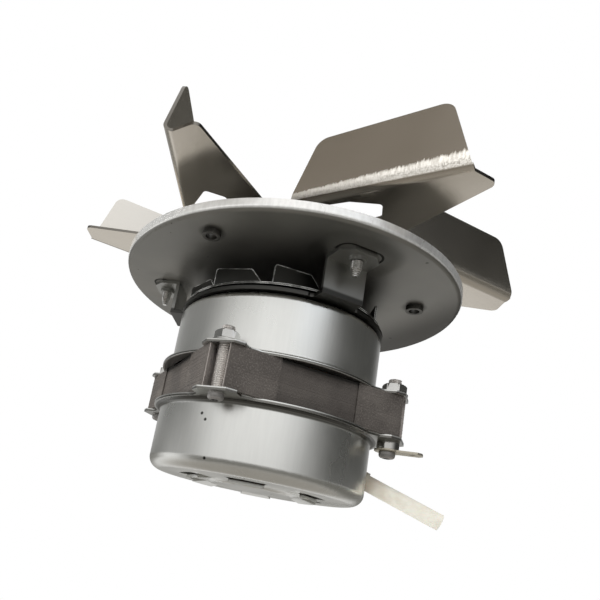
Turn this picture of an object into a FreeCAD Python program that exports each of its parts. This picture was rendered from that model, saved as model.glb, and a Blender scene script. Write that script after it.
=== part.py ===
import FreeCAD, Part
import math
import os
import re
import Sketcher

from FreeCAD import Placement, Rotation, Vector

# Oven circulation fan: an induction motor with a pressed mounting flange and a bent-sheet fan wheel.
# The motor axis is Z. The flange plate's oven side is Z = 0, the fan wheel is above it, the motor below.

doc = FreeCAD.newDocument("oven_circulation_fan")
sheet = doc.addObject("Spreadsheet::Sheet", "dims")
ALIASES = []


def dimension(alias, value, note):
    """One driving dimension, in millimetres or degrees, as a cell with an alias."""
    row = len(ALIASES) + 1
    sheet.set(f"A{row}", note)
    sheet.set(f"B{row}", value)
    sheet.setAlias(f"B{row}", alias)
    ALIASES.append(alias)


# Mounting flange and its fixings
dimension("flange_radius", "72.0", "pressed pan, outside of the rim")
dimension("flange_sheet", "1.5", "pan sheet")
dimension("flange_rim_height", "2.7", "rim above the plate's oven side")
dimension("flange_bend", "1.9", "outside bend between plate and rim")
dimension("flange_bore", "9.0", "shaft passage, radius")
dimension("collar_left", "49.0", "near left wall-fixing collar, towards -X")
dimension("collar_right", "42.8", "near right wall-fixing collar, towards +X")
dimension("collar_near", "34.0", "both near collars, towards -Y")
dimension("collar_far", "57.0", "far collar, towards +Y")
dimension("collar_radius", "3.4", "collar outside radius")
dimension("collar_drop", "1.8", "collar below the plate")
dimension("fixing_radius", "2.1", "M5 thread in the collars, core radius")

# Spider that carries the motor below the flange
dimension("cooling_gap", "13.8", "between flange plate and spider plate")
dimension("spider_lap", "0.3", "spider plate beyond the front shell")
dimension("spider_sheet", "1.5", "spider plate, legs and feet")
dimension("spider_bore", "17.0", "hole over the bearing seat, radius")
dimension("leg_stand", "4.9", "outer face of a leg beyond the spider plate")
dimension("leg_width", "17.0", "leg and foot width")
dimension("leg_notch", "3.0", "relief cut beside each leg root")
dimension("foot_beyond", "4.9", "outer end of a foot beyond its screw")
dimension("foot_corner", "4.0", "foot corner radius")
dimension("screw_beyond", "6.0", "foot screws beyond the outer face of the legs")
dimension("screw_radius", "2.2", "foot screw thread radius")
dimension("screw_length", "9.2", "foot screw under its head")
dimension("screw_point", "1.1", "foot screw pointed end")
dimension("screw_head", "4.4", "foot screw head radius")
dimension("screw_head_height", "2.0", "foot screw head")
dimension("foot_collar", "3.3", "extruded collar under a foot, outside radius")
dimension("foot_collar_drop", "1.4", "extruded collar below the foot")
dimension("rivet_circle", "31.0", "spider rivets, circle radius")
dimension("rivet_radius", "2.0", "spider rivet shank radius")
dimension("rivet_head", "3.4", "spider rivet head radius")
dimension("rivet_rise", "0.6", "spider rivet head height")

# Motor shells
dimension("shell_sheet", "1.2", "drawn shell sheet")
dimension("rear_radius", "44.0", "rear shell outside")
dimension("shell_step", "0.7", "front shell inside the rear shell's outline")
dimension("front_depth", "26.2", "front shell from crown to stator seat")
dimension("front_shoulder", "3.0", "front shell crown rounding")
dimension("front_bore", "8.0", "hole in the crown for the shaft, radius")
dimension("rear_depth", "27.0", "rear shell from stator seat to its bottom")
dimension("rear_corner", "5.0", "rear shell bottom rounding")
dimension("lip_width", "2.8", "stator flange of both shells beyond the rear shell wall")
dimension("lip_fillet", "2.0", "inside bend between shell wall and stator flange")
dimension("ear_beyond", "5.0", "ear tip beyond its bolt")
dimension("ear_width", "17.0", "ear width at the bolt")
dimension("ear_root", "26.0", "ear width where it leaves the flange")
dimension("ear_neck", "2.0", "where an ear's sides turn parallel, beyond the stator flange")
dimension("ear_corner", "3.0", "ear tip corner radius")
dimension("boss_radius", "17.0", "proud centre of the rear shell")
dimension("boss_slope", "2.0", "width of the slope round the proud centre")
dimension("boss_drop", "1.0", "proud centre below the rear bottom")
dimension("vent_inner", "27.5", "vent opening inner radius, the edge of its tongue")
dimension("vent_width", "3.0", "vent opening width")
dimension("vent_angle", "30.0", "vent opening length in degrees")
dimension("tongue_root", "21.0", "radius where a vent's pressed-out tongue leaves the bottom")
dimension("tongue_lap", "0.4", "tongue overlap with the bottom at its root")
dimension("tongue_gap", "0.6", "gap at each side of a tongue in degrees")
dimension("tongue_drop", "1.4", "tongue edge below the rear bottom")

# Stator
dimension("stack_half_width", "42.0", "half the lamination width across flats")
dimension("stack_length", "16.0", "lamination stack length")
dimension("corner_cut", "4.25", "half the width of a cut corner")
dimension("groove_half", "3.7", "half the width of a bolt groove")
dimension("band_half", "16.0", "half the width of the recessed band on a flat")
dimension("band_depth", "0.5", "recessed band depth")
dimension("bore_radius", "22.4", "stator bore")
dimension("slot_outer", "33.0", "winding slot outer radius")
dimension("slot_half", "2.6", "half the winding slot width")
dimension("slot_mouth", "1.1", "half the slot opening at the bore")
dimension("tooth_tip", "1.6", "tooth tip thickness at the bore")
dimension("coil_height", "7.5", "winding overhang beyond the stack")
dimension("coil_clearance", "0.25", "winding to slot wall")
dimension("coil_reach", "1.5", "winding heads beyond the slot outer radius")
dimension("coil_crown", "2.5", "slope at the far side of a winding head")
dimension("coil_foot", "1.5", "slope at the stack side of a winding head")

# Tie bolts
dimension("bolt_beyond", "7.0", "tie bolts beyond the rear shell wall")
dimension("bolt_radius", "2.5", "M5 tie bolt")
dimension("bolt_clearance", "0.15", "hole over bolt, radial")
dimension("bolt_head", "3.0", "bolt head radius")
dimension("bolt_head_height", "2.5", "bolt head height")
dimension("bolt_socket", "1.5", "bolt socket radius")
dimension("bolt_stub", "2.0", "thread beyond the nut")
dimension("nut_flats", "8.0", "nut across flats")
dimension("nut_height", "4.2", "nut height with its flange")
dimension("nut_flange", "5.2", "nut flange radius")
dimension("nut_flange_height", "1.2", "nut flange thickness")

# Earth tab on the near right bolt
dimension("spacer_height", "3.2", "earth spacer bush")
dimension("spacer_radius", "4.1", "earth spacer bush outside radius")
dimension("tab_sheet", "0.8", "earth tab thickness")
dimension("tab_width", "6.3", "earth tab spade width")
dimension("tab_reach", "12.5", "spade tip beyond the bolt axis")
dimension("tab_eye", "4.8", "earth tab eye radius")
dimension("tab_corner", "1.5", "cut at the spade's corners")
dimension("tab_hole", "3.5", "spade hole back from the tip")
dimension("tab_hole_radius", "0.8", "spade hole radius")

# Bearings
dimension("bearing_outer", "13.0", "bearing outside radius")
dimension("bearing_width", "8.0", "bearing width")
dimension("race_wall", "2.2", "race ring wall")
dimension("ball_count", "7", "balls in each bearing")
dimension("race_clearance", "0.05", "ball to race")
dimension("seat_wall", "1.2", "bearing seat wall")
dimension("spring_height", "1.6", "preload spring under the rear bearing")

# Rotor
dimension("journal_radius", "5.0", "shaft at the bearings")
dimension("core_seat", "6.0", "shaft inside the rotor core")
dimension("air_gap", "0.35", "rotor to stator bore")
dimension("end_ring", "5.0", "rotor end ring height")
dimension("end_ring_wall", "7.0", "rotor end ring wall")
dimension("end_ring_step", "1.0", "rotor end ring inside the core's edge")
dimension("hub_seat", "4.0", "shaft inside the wheel hub, radius")
dimension("shaft_chamfer", "0.7", "chamfer at both shaft ends")
dimension("flat_depth", "0.9", "depth of the driving flat")
dimension("thread_length", "14.0", "shaft beyond the fan wheel sheet")

# Cooling wheel between flange and spider
dimension("cooling_radius", "42.5", "cooling wheel plate")
dimension("cooling_sheet", "0.8", "cooling wheel sheet")
dimension("cooling_lift", "1.4", "cooling wheel above the spider plate")
dimension("flap_height", "8.0", "flap above the plate")
dimension("flap_base", "21.0", "flap length at the plate")
dimension("flap_top", "15.0", "flap length at its top edge")
dimension("flap_offset", "37.0", "flap plane from the axis")
dimension("flap_start", "19.0", "flap outer end along its own line")
dimension("flap_corner", "1.2", "flap corner radius")
dimension("flap_step", "1.0", "upright stretch at the flap's low end")
dimension("cooling_turn", "-41.3", "rest angle of the cooling wheel")
dimension("cooling_hub", "9.0", "cooling wheel hub radius")
dimension("cooling_spigot", "6.5", "cooling wheel hub spigot radius")
dimension("cooling_hub_height", "6.5", "cooling wheel hub height above the plate")

# Fan wheel
dimension("wheel_height", "14.5", "underside of the arms above the flange plate")
dimension("wheel_sheet", "1.2", "fan wheel sheet")
dimension("wheel_bend", "2.8", "inside bend radius of a blade")
dimension("wheel_turn", "-56.8", "rest angle of the fan wheel")
dimension("bend_offset", "45.8", "blade outer face from the axis")
dimension("blade_lean", "3.4", "lean of a blade over its own arm, in degrees")
dimension("blade_height", "26.5", "blade above the underside of the arms")
dimension("blade_in", "22.9", "blade base, inner end along the bend line")
dimension("blade_out", "84.6", "blade base, outer end along the bend line")
dimension("blade_top_in", "30.8", "blade top edge, inner end")
dimension("blade_top_out", "77.0", "blade top edge, outer end")
dimension("blade_corner", "5.0", "blade top corner radius")
dimension("arm_tip", "89.5", "arm tip corner along the bend line")
dimension("arm_tip_width", "12.6", "arm tip corner in from the bend line")
dimension("arm_root_along", "44.0", "trailing edge root along the bend line")
dimension("arm_root_width", "37.0", "trailing edge root in from the bend line")
dimension("arm_corner", "2.5", "arm tip corner radius")
dimension("arm_root_corner", "6.0", "rounding where an arm leaves the hub plate")
dimension("relief_gap", "0.4", "slit between the bend and the hub plate")
dimension("relief_start", "44.0", "relief cut, point beside the bend line")
dimension("relief_start_width", "6.2", "relief cut, same point in from the bend line")
dimension("relief_tip", "54.0", "relief cut, outermost point")
dimension("relief_tip_width", "11.5", "relief cut, outermost point in from the bend line")
dimension("relief_end", "51.0", "relief cut, inner corner")
dimension("relief_end_width", "19.5", "relief cut, inner corner in from the bend line")
dimension("relief_corner", "1.5", "relief cut corner radius")
dimension("hub_plate", "38.0", "centre plate of the fan wheel, radius")
dimension("hub_lap", "11.4", "an arm's own part of the centre plate, near the axis")
dimension("hub_lap_far", "30.4", "the same part, towards the arm tip")
dimension("hub_lap_root", "22.8", "the same part, beside the relief cut")
dimension("hub_radius", "9.0", "wheel hub spigot radius")
dimension("hub_flange", "15.0", "wheel hub flange radius")
dimension("hub_flange_height", "3.0", "wheel hub flange under the sheet")
dimension("hub_rise", "1.4", "hub spigot above the sheet")
dimension("washer_radius", "8.0", "locking washer radius")
dimension("washer_sheet", "1.4", "locking washer thickness")
dimension("shaft_nut_flats", "13.0", "wheel nut across flats")
dimension("shaft_nut_height", "6.5", "wheel nut height")

# Supply lead
dimension("lead_radius", "3.25", "silicone sleeve radius")
dimension("lead_angle", "-30.0", "direction in which the lead leaves")
dimension("lead_droop", "20.0", "slope of the lead below the horizontal")
dimension("lead_height", "10.8", "lead axis above the rear bottom, at the wall")
dimension("lead_inner_run", "15.0", "level run of the lead inside the shell")
dimension("lead_inner_slope", "11.0", "sloping run inside the wall, measured across")
dimension("lead_outer_slope", "10.0", "sloping run outside the wall, measured across")
dimension("lead_end_run", "19.0", "last run of the lead, measured across")
dimension("lead_end_drop", "6.56", "drop of the last run")
dimension("grommet_wall", "0.7", "grommet wall")
dimension("grommet_proud", "0.4", "grommet beyond the outside of the wall")
dimension("grommet_inside", "3.4", "grommet inside the wall")

doc.recompute()


def size(alias):
    """The value of one cell."""
    return float(sheet.get(alias))


def formula(text):
    """An expression whose names are cells of the sheet."""
    def cell(word):
        name = word.group(0)
        return "dims." + name if name in ALIASES else name
    return re.sub(r"[a-z_]{4,}", cell, text)


def bind(item, path, text):
    """Ties one property of an object to the sheet."""
    item.setExpression(path, formula(text))


# Sizes across the axis that follow from the shells
dimension("front_radius", "=rear_radius - shell_step", "front shell outside")
dimension("flange_lip", "=rear_radius + lip_width", "stator flange of both shells, radius")
dimension("ear_throat", "=flange_lip + ear_neck", "start of an ear's parallel sides")
dimension("bolt_circle", "=rear_radius + bolt_beyond", "tie bolts, circle radius")
dimension("ear_reach", "=bolt_circle + ear_beyond", "ear tip from the axis")
dimension("spider_radius", "=front_radius + spider_lap", "spider plate")
dimension("leg_face", "=spider_radius + leg_stand", "outer face of a leg from the axis")
dimension("screw_circle", "=leg_face + screw_beyond", "foot screws, circle radius")
dimension("foot_reach", "=screw_circle + foot_beyond", "outer end of a foot from the axis")

# Levels along the axis
dimension("spider_top", "=-flange_sheet - cooling_gap", "spider plate, upper face")
dimension("crown", "=spider_top - spider_sheet", "front shell crown")
dimension("stack_top", "=crown - front_depth", "stator seat of the front shell")
dimension("stack_low", "=stack_top - stack_length", "stator seat of the rear shell")
dimension("bottom", "=stack_low - rear_depth", "rear shell bottom")
dimension("foot_low", "=-flange_sheet - spider_sheet", "underside of a foot")
dimension("cooling_low", "=spider_top + cooling_lift", "underside of the cooling wheel")
dimension("cooling_top", "=cooling_low + cooling_sheet", "upper face of the cooling wheel")
dimension("front_seat", "=crown - shell_sheet", "top of the front bearing")
dimension("rear_seat", "=bottom - boss_drop + shell_sheet + spring_height", "underside of the rear bearing")
dimension("wheel_top", "=wheel_height + wheel_sheet", "upper face of the fan wheel sheet")
doc.recompute()


def origin_plane(body, role):
    """One of a body's own origin planes."""
    return next(feature for feature in body.Origin.OriginFeatures if feature.Role == role)


def new_body(label):
    """An empty PartDesign body."""
    body = doc.addObject("PartDesign::Body", label)
    body.Label = label
    return body


def new_sketch(body, name, plane, level="0", turn=None):
    """A sketch on an origin plane, lifted by level; turn swings an XZ sketch about the motor axis."""
    sketch = body.newObject("Sketcher::SketchObject", name)
    sketch.AttachmentSupport = (origin_plane(body, plane), "")
    sketch.MapMode = "FlatFace"
    if turn is not None:
        sketch.AttachmentOffset = Placement(Vector(0, 0, 0), Rotation(Vector(0, 1, 0), 0))
        bind(sketch, "AttachmentOffset.Rotation.Angle", turn)
    elif level != "0":
        bind(sketch, "AttachmentOffset.Base.z", level)
    return sketch


def corner_sketch(body, name, plane, corners, level="0", turn=None):
    """A closed outline of straight lines; each corner is a pair of formulas."""
    sketch = new_sketch(body, name, plane, level, turn)
    count = len(corners)
    for index in range(count):
        here = Vector(10 + index, index * index + 5, 0)
        after = (index + 1) % count
        there = Vector(10 + after, after * after + 5, 0)
        sketch.addGeometry(Part.LineSegment(here, there), False)
    for index in range(count):
        sketch.addConstraint(Sketcher.Constraint("Coincident", index, 2, (index + 1) % count, 1))
    for index, (across, along) in enumerate(corners):
        for kind, text in (("DistanceX", across), ("DistanceY", along)):
            place = sketch.addConstraint(Sketcher.Constraint(kind, -1, 1, index, 1, 1.0 + index))
            sketch.setExpression(f"Constraints[{place}]", formula(text))
    return sketch


def circle_sketch(body, name, plane, circles, level="0", turn=None):
    """Circles; each is a triple of formulas for centre and radius."""
    sketch = new_sketch(body, name, plane, level, turn)
    for index, (across, along, radius) in enumerate(circles):
        sketch.addGeometry(Part.Circle(Vector(3 * index + 1, 2, 0), Vector(0, 0, 1), 1 + 0.1 * index), False)
        values = (("DistanceX", across), ("DistanceY", along))
        for kind, text in values:
            place = sketch.addConstraint(Sketcher.Constraint(kind, -1, 1, index, 3, 1.0))
            sketch.setExpression(f"Constraints[{place}]", formula(text))
        place = sketch.addConstraint(Sketcher.Constraint("Radius", index, 1.0))
        sketch.setExpression(f"Constraints[{place}]", formula(radius))
    return sketch


def turn_profile(body, name, corners):
    """A solid of revolution about Z from (radius, height) corners."""
    feature = body.newObject("PartDesign::Revolution", name)
    feature.Profile = corner_sketch(body, name + "_profile", "XZ_Plane", corners)
    feature.ReferenceAxis = (feature.Profile[0], ["V_Axis"])
    feature.Angle = 360
    return feature


def extrude(body, name, sketch, length, kind="Pad", back=False, midplane=False):
    """A pad or pocket of a sketch; back turns its direction."""
    feature = body.newObject("PartDesign::" + kind, name)
    feature.Profile = sketch
    feature.Reversed = back
    feature.Midplane = midplane
    bind(feature, "Length", length)
    return feature


def around(body, name, features, count):
    """Repeats features round the motor axis."""
    pattern = body.newObject("PartDesign::PolarPattern", name)
    pattern.Originals = features
    pattern.Axis = (next(a for a in body.Origin.OriginFeatures if a.Role == "Z_Axis"), [""])
    pattern.Angle = 360
    pattern.Occurrences = count
    body.Tip = pattern
    return pattern


def round_edges(body, name, radius, chosen, kind="Fillet"):
    """Rounds the edges of the body's last feature that the test chosen accepts."""
    doc.recompute()
    base = body.Tip
    names = [f"Edge{i}" for i, edge in enumerate(base.Shape.Edges, 1) if chosen(edge)]
    feature = body.newObject("PartDesign::" + kind, name)
    feature.Base = (base, names)
    bind(feature, "Radius" if kind == "Fillet" else "Size", radius)
    body.Tip = feature
    return feature


def ring_edge(radius, level):
    """A test for the circular edges of one radius at one height."""
    def test(edge):
        box = edge.BoundBox
        same = hasattr(edge.Curve, "Radius") and abs(edge.Curve.Radius - radius) < 0.01
        return same and abs(box.ZMin - level) < 0.01 and abs(box.ZMax - level) < 0.01
    return test


def lead_axis(along):
    """A placement whose Z runs out along the lead, at a distance along it from the shell wall."""
    turn, droop = size("lead_angle"), size("lead_droop")
    wall = Vector(size("rear_radius"), 0, size("bottom") + size("lead_height"))
    aim = Rotation(Vector(0, 0, 1), turn) * Rotation(Vector(0, 1, 0), 90 + droop)
    base = Rotation(Vector(0, 0, 1), turn).multVec(wall)
    return Placement(base + aim.multVec(Vector(0, 0, along)), aim)


# Mounting flange: a pressed steel pan with extruded, threaded collars for the oven wall.
def mounting_flange():
    body = new_body("mounting_flange")
    turn_profile(body, "pan", [
        ("flange_bore", "-flange_sheet"),
        ("flange_radius", "-flange_sheet"),
        ("flange_radius", "flange_rim_height"),
        ("flange_radius - flange_sheet", "flange_rim_height"),
        ("flange_radius - flange_sheet", "0"),
        ("flange_bore", "0"),
    ])
    under = ring_edge(size("flange_radius"), -size("flange_sheet"))
    round_edges(body, "outer_bend", "flange_bend", under)
    inside = ring_edge(size("flange_radius") - size("flange_sheet"), 0)
    round_edges(body, "inner_bend", "flange_bend - flange_sheet", inside)
    places = [("-collar_left", "-collar_near"), ("collar_right", "-collar_near"), ("0", "collar_far")]
    collars = circle_sketch(
        body, "collar_plan", "XY_Plane", [(x, y, "collar_radius") for x, y in places], "-flange_sheet")
    extrude(body, "collars", collars, "collar_drop", back=True)
    holes = circle_sketch(
        body, "thread_plan", "XY_Plane", [(x, y, "fixing_radius") for x, y in places], "1")
    extrude(body, "threads", holes, "flange_sheet + collar_drop + 2", "Pocket")
    hole = circle_sketch(
        body, "screw_plan", "XY_Plane", [("0", "-screw_circle", "screw_radius + bolt_clearance")], "1")
    first = extrude(body, "screw_hole", hole, "flange_sheet + 2", "Pocket")
    around(body, "screw_holes", [first], 3)
    return body


# Support spider: plate on the front shell, three legs bent up and three feet bent out under the flange.
def support_spider():
    body = new_body("support_spider")
    plate = circle_sketch(body, "plate_plan", "XY_Plane", [("0", "0", "spider_radius")], "crown")
    extrude(body, "plate", plate, "spider_sheet")
    half = "leg_width / 2"
    root = corner_sketch(body, "root_plan", "XY_Plane", [
        ("-" + half, "-leg_face"),
        (half, "-leg_face"),
        (half, "-spider_radius / 2"),
        ("-" + half, "-spider_radius / 2"),
    ], "crown")
    web = extrude(body, "leg_root", root, "spider_sheet")
    wall = corner_sketch(body, "leg_plan", "XY_Plane", [
        ("-" + half, "-leg_face"),
        (half, "-leg_face"),
        (half, "-leg_face + spider_sheet"),
        ("-" + half, "-leg_face + spider_sheet"),
    ], "crown")
    leg = extrude(body, "leg", wall, "spider_sheet + cooling_gap")
    cut = "-foot_reach + foot_corner"
    inner = half + " - foot_corner"
    sole = corner_sketch(body, "foot_plan", "XY_Plane", [
        ("-(" + inner + ")", "-foot_reach"),
        (inner, "-foot_reach"),
        (half, cut),
        (half, "-leg_face + spider_sheet"),
        ("-" + half, "-leg_face + spider_sheet"),
        ("-" + half, cut),
    ], "foot_low")
    foot = extrude(body, "foot", sole, "spider_sheet")
    boss = circle_sketch(body, "collar_plan", "XY_Plane", [("0", "-screw_circle", "foot_collar")], "foot_low")
    collar = extrude(body, "collar", boss, "foot_collar_drop", back=True)
    around(body, "legs", [web, leg, foot, collar], 3)
    doc.recompute()
    bore = circle_sketch(body, "bore_plan", "XY_Plane", [("0", "0", "spider_bore")], "spider_top + 1")
    extrude(body, "bore", bore, "spider_sheet + 2", "Pocket")
    tap = circle_sketch(body, "tap_plan", "XY_Plane", [("0", "-screw_circle", "screw_radius")], "0")
    thread = extrude(body, "thread", tap, "flange_sheet + spider_sheet + foot_collar_drop + 1", "Pocket")
    notch_x = "leg_width / 2 + leg_notch / 2"
    notches = circle_sketch(body, "notch_plan", "XY_Plane", [
        (notch_x, "-spider_radius", "leg_notch / 2"),
        ("-(" + notch_x + ")", "-spider_radius", "leg_notch / 2"),
    ], "spider_top + 1")
    relief = extrude(body, "relief", notches, "spider_sheet + 2", "Pocket")
    eye = circle_sketch(
        body, "rivet_plan", "XY_Plane", [("0", "rivet_circle", "rivet_radius")], "spider_top + 1")
    hole = extrude(body, "rivet_hole", eye, "spider_sheet + 2", "Pocket")
    around(body, "openings", [thread, relief, hole], 3)
    return body


# The ears of both shells: four lobes on the stator flange, each with a bolt hole.
def add_ears(body, level):
    plan = corner_sketch(body, "ear_plan", "XY_Plane", [
        ("rear_radius", "-ear_root / 2"),
        ("ear_throat", "-ear_width / 2"),
        ("ear_reach - ear_corner", "-ear_width / 2"),
        ("ear_reach", "-ear_width / 2 + ear_corner"),
        ("ear_reach", "ear_width / 2 - ear_corner"),
        ("ear_reach - ear_corner", "ear_width / 2"),
        ("ear_throat", "ear_width / 2"),
        ("rear_radius", "ear_root / 2"),
        ("rear_radius - shell_sheet / 2", "0"),
    ], level)
    ear = extrude(body, "ear", plan, "shell_sheet")
    around(body, "ears", [ear], 4)
    hole = circle_sketch(
        body, "bolt_plan", "XY_Plane", [("bolt_circle", "0", "bolt_radius + bolt_clearance")], level + " + 3")
    bolt = extrude(body, "bolt_hole", hole, "shell_sheet + 4", "Pocket")
    around(body, "bolt_holes", [bolt], 4)


# Front shell: a drawn cup whose crown holds the front bearing in an inward seat.
def front_shell():
    body = new_body("front_shell")
    body.Placement = Placement(Vector(0, 0, 0), Rotation(Vector(0, 0, 1), 45))
    turn_profile(body, "cup", [
        ("front_bore", "crown"),
        ("front_radius", "crown"),
        ("front_radius", "stack_top + shell_sheet"),
        ("flange_lip", "stack_top + shell_sheet"),
        ("flange_lip", "stack_top"),
        ("front_radius - shell_sheet", "stack_top"),
        ("front_radius - shell_sheet", "front_seat"),
        ("bearing_outer + seat_wall", "front_seat"),
        ("bearing_outer + seat_wall", "front_seat - bearing_width"),
        ("bearing_outer", "front_seat - bearing_width"),
        ("bearing_outer", "front_seat"),
        ("front_bore", "front_seat"),
    ])
    round_edges(body, "shoulder", "front_shoulder", ring_edge(size("front_radius"), size("crown")))
    inner = ring_edge(size("front_radius") - size("shell_sheet"), size("front_seat"))
    round_edges(body, "inner_shoulder", "front_shoulder - shell_sheet", inner, "Chamfer")
    lip = ring_edge(size("front_radius"), size("stack_top") + size("shell_sheet"))
    round_edges(body, "lip", "lip_fillet", lip)
    add_ears(body, "stack_top")
    eye = circle_sketch(body, "rivet_plan", "XY_Plane", [
        ("rivet_circle * cos(45deg)", "rivet_circle * sin(45deg)", "rivet_radius"),
    ], "crown + 1")
    hole = extrude(body, "rivet_hole", eye, "shell_sheet + 2", "Pocket")
    around(body, "rivet_holes", [hole], 3)
    return body


# Rear shell: a drawn cup with a proud centre, six louvred vents and the hole for the lead.
def rear_shell():
    body = new_body("rear_shell")
    body.Placement = Placement(Vector(0, 0, 0), Rotation(Vector(0, 0, 1), 45))
    turn_profile(body, "cup", [
        ("0", "bottom - boss_drop"),
        ("boss_radius", "bottom - boss_drop"),
        ("boss_radius + boss_slope", "bottom"),
        ("rear_radius", "bottom"),
        ("rear_radius", "stack_low - shell_sheet"),
        ("flange_lip", "stack_low - shell_sheet"),
        ("flange_lip", "stack_low"),
        ("rear_radius - shell_sheet", "stack_low"),
        ("rear_radius - shell_sheet", "bottom + shell_sheet"),
        ("boss_radius + boss_slope - shell_sheet / 2", "bottom + shell_sheet"),
        ("boss_radius - shell_sheet / 2", "bottom - boss_drop + shell_sheet"),
        ("bearing_outer + seat_wall", "bottom - boss_drop + shell_sheet"),
        ("bearing_outer + seat_wall", "rear_seat + bearing_width"),
        ("bearing_outer", "rear_seat + bearing_width"),
        ("bearing_outer", "bottom - boss_drop + shell_sheet"),
        ("0", "bottom - boss_drop + shell_sheet"),
    ])
    round_edges(body, "corner", "rear_corner", ring_edge(size("rear_radius"), size("bottom")))
    inner = ring_edge(size("rear_radius") - size("shell_sheet"), size("bottom") + size("shell_sheet"))
    round_edges(body, "inner_corner", "rear_corner - shell_sheet", inner, "Chamfer")
    lip = ring_edge(size("rear_radius"), size("stack_low") - size("shell_sheet"))
    round_edges(body, "lip", "lip_fillet", lip)
    add_ears(body, "stack_low - shell_sheet")
    doc.recompute()
    vent = body.newObject("PartDesign::Groove", "vent")
    vent.Profile = corner_sketch(body, "vent_profile", "XZ_Plane", [
        ("tongue_root", "bottom - 1"),
        ("vent_inner + vent_width", "bottom - 1"),
        ("vent_inner + vent_width", "bottom + shell_sheet + 1"),
        ("tongue_root", "bottom + shell_sheet + 1"),
    ], turn="15deg")
    bind(vent, "Angle", "vent_angle * 1deg")
    tongue = body.newObject("PartDesign::Revolution", "tongue")
    tongue.Profile = corner_sketch(body, "tongue_profile", "XZ_Plane", [
        ("tongue_root - tongue_lap", "bottom"),
        ("vent_inner", "bottom - tongue_drop"),
        ("vent_inner", "bottom - tongue_drop + shell_sheet"),
        ("tongue_root - tongue_lap", "bottom + shell_sheet"),
    ], turn="15deg")
    bind(tongue, "Angle", "(vent_angle - 2 * tongue_gap) * 1deg")
    for feature in (vent, tongue):
        feature.ReferenceAxis = (feature.Profile[0], ["V_Axis"])
        feature.Midplane = True
    around(body, "vents", [vent, tongue], 6)
    hole = body.newObject("PartDesign::SubtractiveCylinder", "lead_hole")
    hole.Placement = body.Placement.inverse() * lead_axis(-size("grommet_inside") * 2)
    bind(hole, "Radius", "lead_radius + grommet_wall")
    bind(hole, "Height", "grommet_inside * 4")
    body.Tip = hole
    return body


SLOT_COUNT = 12


# Stator core: stacked laminations, square with cut corners, open bolt grooves and winding slots.
def stator_core():
    body = new_body("stator_core")
    body.Placement = Placement(Vector(0, 0, 0), Rotation(Vector(0, 0, 1), 45))
    far = "(stack_half_width * sqrt(2) - corner_cut)"
    cut = "corner_cut"
    plan = corner_sketch(body, "sheet_plan", "XY_Plane", [
        (far, "-" + cut), (far, cut), (cut, far), ("-" + cut, far),
        ("-" + far, cut), ("-" + far, "-" + cut), ("-" + cut, "-" + far), (cut, "-" + far),
    ], "stack_low")
    extrude(body, "stack", plan, "stack_length")
    bore = circle_sketch(body, "bore_plan", "XY_Plane", [("0", "0", "bore_radius")], "stack_top + 1")
    extrude(body, "bore", bore, "stack_length + 2", "Pocket")
    groove = corner_sketch(body, "groove_plan", "XY_Plane", [
        ("bolt_circle - groove_half", "-groove_half / 2"),
        ("bolt_circle - groove_half / 2", "-groove_half"),
        ("stack_half_width * 2", "-groove_half"),
        ("stack_half_width * 2", "groove_half"),
        ("bolt_circle - groove_half / 2", "groove_half"),
        ("bolt_circle - groove_half", "groove_half / 2"),
    ], "stack_top + 1")
    bolt = extrude(body, "bolt_groove", groove, "stack_length + 2", "Pocket")
    high = "(stack_half_width + 1 + band_half) * sqrt(0.5)"
    low = "(stack_half_width + 1 - band_half) * sqrt(0.5)"
    deep_high = "(stack_half_width - band_depth + band_half) * sqrt(0.5)"
    deep_low = "(stack_half_width - band_depth - band_half) * sqrt(0.5)"
    face = corner_sketch(body, "band_plan", "XY_Plane", [
        (high, low), (low, high), (deep_low, deep_high), (deep_high, deep_low),
    ], "stack_top + 1")
    band = extrude(body, "band", face, "stack_length + 2", "Pocket")
    around(body, "sides", [bolt, band], 4)
    slot = corner_sketch(body, "slot_plan", "XY_Plane", [
        ("bore_radius - 1", "-slot_mouth"),
        ("bore_radius + tooth_tip", "-slot_mouth"),
        ("bore_radius + tooth_tip", "-slot_half"),
        ("slot_outer - slot_half", "-slot_half"),
        ("slot_outer", "-slot_half / 2"),
        ("slot_outer", "slot_half / 2"),
        ("slot_outer - slot_half", "slot_half"),
        ("bore_radius + tooth_tip", "slot_half"),
        ("bore_radius + tooth_tip", "slot_mouth"),
        ("bore_radius - 1", "slot_mouth"),
    ], "stack_top + 1")
    opening = extrude(body, "slot", slot, "stack_length + 2", "Pocket")
    around(body, "slots", [opening], SLOT_COUNT)
    return body


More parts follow.
